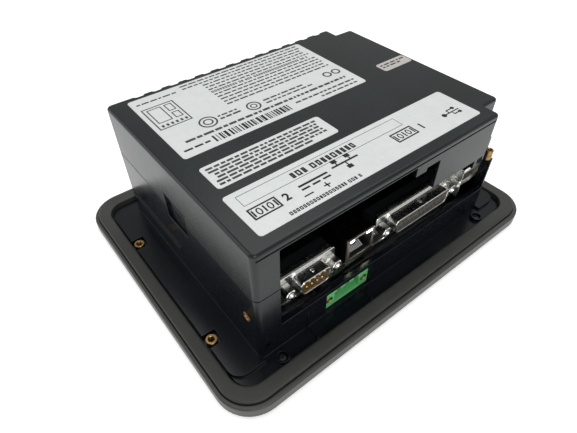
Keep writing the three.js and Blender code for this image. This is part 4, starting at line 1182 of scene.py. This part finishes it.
def usb_shield():
    left, right, front, back = USB.left, USB.right, USB.front, USB.back
    piece = build("usb_shield", y_slab(rectangle(left, right, USB.bottom, USB.top, 0.6, 5), front, back))
    for z in USB_MOUTHS:
        cut(piece, y_slab(rectangle(left + 0.4, right - 0.4, z, z + 5.2, 0.3, 3), front - 1, back - 0.4))
        for x in (left + 3.2, right - 5.2):
            cut(piece, block(x, x + 2, front + 3, front + 8, z + 5.1, z + 5.5))
    for z in (20.6, 28.2):
        cut(piece, block(left - 1, left + 0.25, front + 3, front + 8, z + 1.4, z + 1.9))
        cut(piece, block(left - 1, left + 0.25, front + 3, front + 8, z + 3.9, z + 4.4))
    return soften(piece, 0.12, 2)


def usb_tongue(z, name):
    x0, x1, front, back = USB.left + 1.2, USB.right - 1.2, USB.front + 0.8, USB.back - 0.5
    piece = build(name, block(x0, x1, front, back, z + 2.9, z + 4.8))
    return soften(piece, 0.25, 3)


def usb_contacts():
    """Four flat contacts under each tongue."""
    rows = []
    for z in USB_MOUTHS:
        start = (USB.left + 3.1, USB.front + 1.6, z + 2.8)
        rows.append(row("strips", [block(-0.5, 0.5, 0, 8, 0, 0.12)], 4, start, (2.33, 0, 0), GOLD_PLATE))
    return merge("usb_contacts", rows)


finish_piece(usb_shield(), BRIGHT_STEEL, "steel", "usb_shell")
for k, z in enumerate(USB_MOUTHS):
    finish_piece(usb_tongue(z, f"usb_blade_{k + 1}"), TONGUE_PLASTIC, "cream", f"usb_tongue_{k + 1}")
finish_piece(usb_contacts(), None, "brass", "usb_tongue_1", "usb_tongue_2")


# ---- power inlet -----------------------------------------------------------------------------

def power_body():
    x, pitch, front, back = POWER.x, POWER.pitch, POWER.front, POWER.back
    bottom, top = POWER.bottom, POWER.top
    piece = build("power_body", block(x - POWER.width / 2, x + POWER.width / 2, front, back, bottom, top))
    cavity = pitch * 1.5 - 0.3
    cut(piece, block(x - cavity, x + cavity, front - 1, back - 1.2, bottom + 1.4, top - 1.6))
    first, step = (x - pitch, front, 0), (pitch, 0, 0)
    key = block(-1.1, 1.1, -1, 7.4, top - 2.2, top - 0.7)
    combine(piece, "DIFFERENCE", row("tool", [key], 3, first, step))
    bush_hole = turned([(1.95, -1), (1.95, 4.4)], 28)
    for side in (-1, 1):
        cut(piece, facing_ports(bush_hole, x + side * pitch * 2, front, POWER_PLACE.axis))
    notch = block(-1.15, 1.15, -1, 3.2, top - 2.4, top + 1)
    combine(piece, "DIFFERENCE", row("tool", [notch], 3, first, step))
    return soften(piece, 0.2, 3)


def power_pins():
    """Square tapered pins that run back out of the body, towards the board."""
    front, back, z, half = POWER.front, POWER.back, 10.4, 0.5
    path = [(front + 1.0, 0.25), (front + 1.5, half), (back + 1.2, half)]
    pin = loft([[(-r, y, z - r), (r, y, z - r), (r, y, z + r), (-r, y, z + r)] for y, r in path])
    return row("power_prongs", [pin], 3, (POWER.x - POWER.pitch, 0, 0), (POWER.pitch, 0, 0), GOLD_PLATE)


def threaded_bush(name, count, start, step, outer, bore, length, finish, turn):
    """Brass bushes with a bevelled mouth and a cut thread."""
    mouth = [(outer - 0.25, 0), (outer, 0.25), (outer, length - 0.2), (outer - 0.2, length)]
    turns = int((length - 0.4) / 0.28)
    inner = [(bore - 0.14 * (k % 2), length - 0.3 - k * 0.28) for k in range(turns)]
    profile = mouth + [(bore + 0.1, length)] + inner + [(bore, 0.3), (bore + 0.3, 0)]
    return row(name, [placed(turned(profile, 28, True), (0, 0, 0), turn)], count, start, step, finish)


finish_piece(power_body(), GREEN_PLASTIC, "green", "power_header")
finish_piece(power_pins(), None, "steel", "power_pin_1", "power_pin_2", "power_pin_3")
first_bush = (POWER.x - 2 * POWER.pitch, POWER.front + 0.15, POWER_PLACE.axis)
finish_piece(threaded_bush("power_bushes", 2, first_bush, (4 * POWER.pitch, 0, 0), 1.86, 1.1, 4.1,
                           BRASS, (-90, 0, 0)),
             None, "brass", "power_flange_nut_1", "power_flange_nut_2")


# ---- brass inserts, standoffs and screws -----------------------------------------------------

def knurled(name, x, y, z0, z1, outer, bore):
    """A brass insert: a knurled barrel with a plain collar and a bevelled thread."""
    length = z1 - z0
    profile = [(outer - 0.45, 0), (outer - 0.3, 0.15), (outer - 0.3, length - 0.75),
               (outer - 0.05, length - 0.6), (outer - 0.05, length - 0.12), (outer - 0.17, length),
               (bore + 0.22, length), (bore, length - 0.22)]
    turns = int((length - 0.6) / 0.25)
    profile += [(bore - 0.13 * (k % 2), length - 0.3 - k * 0.25) for k in range(turns)]
    profile += [(bore, 0.2), (bore + 0.2, 0)]
    barrel = build(name, turned(profile, 28, True))
    barrel.data.materials.append(BRASS)
    tooth = block(-0.12, 0.12, outer - 0.45, outer - 0.06, 0.25, length - 0.8)
    teeth = ring(name + "_teeth", [tooth], 22, BRASS)
    return shift(merge(name, [barrel, teeth]), (x, y, z0))


for k in range(4):
    node = f"bezel_insert_{k + 1}"
    low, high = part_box(node)
    middle = (low + high) / 2 / MM
    finish_piece(knurled(f"brass_insert_{k + 1}", middle.x, middle.y, low.z / MM, high.z / MM, 2.5, 1.3),
                 None, "brass", node, angle=30)
for side in ("left", "right"):
    node = "side_insert_" + side
    low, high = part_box(node)
    middle, length = (low + high) / 2 / MM, (high.x - low.x) / MM
    collar = knurled("wall_insert_" + side, 0, 0, 0, length, 2.3, 1.3)
    sign = -1 if side == "left" else 1
    shift(collar, (middle.x - sign * length / 2, middle.y, middle.z), (0, 90 * sign, 0))
    finish_piece(collar, None, "brass", node, angle=30)
for end in ("near", "far"):
    node = "corner_standoff_" + end
    low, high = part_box(node)
    middle, length = (low + high) / 2 / MM, (high.z - low.z) / MM
    loops = [circle(0.9, length - 1.8), circle(1.05, length - 0.3), circle(1.3, length)]
    loops += [circle(1.75, length), circle(1.98, length - 0.25), circle(1.98, length * 0.55)]
    loops += [circle(1.7, length * 0.5), circle(1.98, length * 0.45), circle(1.98, 0.2), circle(1.8, 0)]
    standoff = shift(build("standoff_" + end, loft(loops)), (middle.x, middle.y, low.z / MM))
    finish_piece(standoff, BRASS, "brass", node)


def cross_screw(name, x, y, z0, radius, height):
    """A pan-head screw with a cross recess."""
    def head(share, z):
        return circle(radius * share, z)
    loops = [head(0.9, z0), head(1, z0 + 0.2), head(1, z0 + height * 0.45), head(0.93, z0 + height * 0.72),
             head(0.75, z0 + height * 0.92), head(0.45, z0 + height)]
    piece = build(name, placed(loft(loops), (x, y, 0)))
    arm, wide, depth = radius * 0.62, radius * 0.17, z0 + height * 0.45
    cut(piece, block(x - arm, x + arm, y - wide, y + wide, depth, z0 + height + 1),
        block(x - wide, x + wide, y - arm, y + arm, depth - 0.02, z0 + height + 1))
    return finish_piece(soften(piece, 0.05, 1), BLACK_STEEL, "screw", angle=30)


for k in range(4):
    node = f"housing_screw_{k + 1}"
    low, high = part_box(node)
    middle = (low + high) / 2 / MM
    radius, height = (high.x - low.x) / 2 / MM, 1.3
    screw = cross_screw(f"case_screw_{k + 1}", middle.x, middle.y, high.z / MM - height, radius, height)
    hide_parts(node)


# ---- parts kept as they are ------------------------------------------------------------------

KEPT = {
    "touch_glass": GLASS, "display_frame": DULL_STEEL, "display_bracket": DULL_STEEL,
    "display_panel": BLACK_PLASTIC, "processor": BLACK_PLASTIC, "memory_chip": BLACK_PLASTIC,
    "power_capacitor": BLACK_PLASTIC, "battery_holder": BLACK_PLASTIC, "expansion_header": BLACK_PLASTIC,
    "main_board": BOARD, "heat_sink": ALUMINIUM, "display_ribbon": CREAM_PLASTIC,
    "ribbon_socket": CREAM_PLASTIC, "backup_battery": BRIGHT_STEEL,
    "board_screw_1": BRIGHT_STEEL, "board_screw_2": BRIGHT_STEEL,
    "board_screw_3": BRIGHT_STEEL, "board_screw_4": BRIGHT_STEEL,
}
for node, finish in KEPT.items():
    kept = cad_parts[node]
    kept.data.materials.clear()
    kept.data.materials.append(finish)

# ---- floor, light and camera -----------------------------------------------------------------

floor = build("floor", slab(rectangle(-2500, 2500, -2500, 2500, 10, 2), -10.05, -0.05))
paper = Finish("floor_paper", Emission_Strength=0.4, Roughness=0.9, Emission_Color=(1, 1, 1, 1))
paper.set(Base_Color=paper.mix(paper.noise(3, 2), (0.90, 0.90, 0.90, 1), (0.92, 0.92, 0.92, 1)))
floor.data.materials.append(paper.material)

world = bpy.data.worlds.new("studio")
world.use_nodes = True
world.node_tree.nodes["Background"].inputs["Color"].default_value = (1, 1, 1, 1)
world.node_tree.nodes["Background"].inputs["Strength"].default_value = 0.45
bpy.context.scene.world = world


def softbox(name, place, size, power):
    light = bpy.data.lights.new(name, "AREA")
    light.shape = "RECTANGLE"
    light.size, light.size_y = size
    light.energy = power
    lamp = bpy.data.objects.new(name, light)
    lamp.location = place
    lamp.rotation_euler = (Vector((0, 0, 0.03)) - Vector(place)).to_track_quat("-Z", "Y").to_euler()
    bpy.context.scene.collection.objects.link(lamp)


softbox("overhead", (0.35, 0.25, 1.3), (1.2, 1.2), 9)
softbox("far_side", (-0.9, 0.8, 0.7), (0.9, 0.9), 3.8)
softbox("near_side", (-0.3, -0.9, 0.6), (0.5, 0.5), 3.6)

lens = bpy.data.cameras.new("camera")
lens.lens = 28.52
lens.sensor_width = 36
lens.clip_start = 0.01
camera = bpy.data.objects.new("camera", lens)
camera.location = (-0.11832, -0.13416, 0.17467)
camera.rotation_euler = [math.radians(angle) for angle in (45.471, 0.235, -38.374)]
bpy.context.scene.collection.objects.link(camera)
bpy.context.scene.camera = camera
bpy.context.scene.view_settings.view_transform = "Standard"
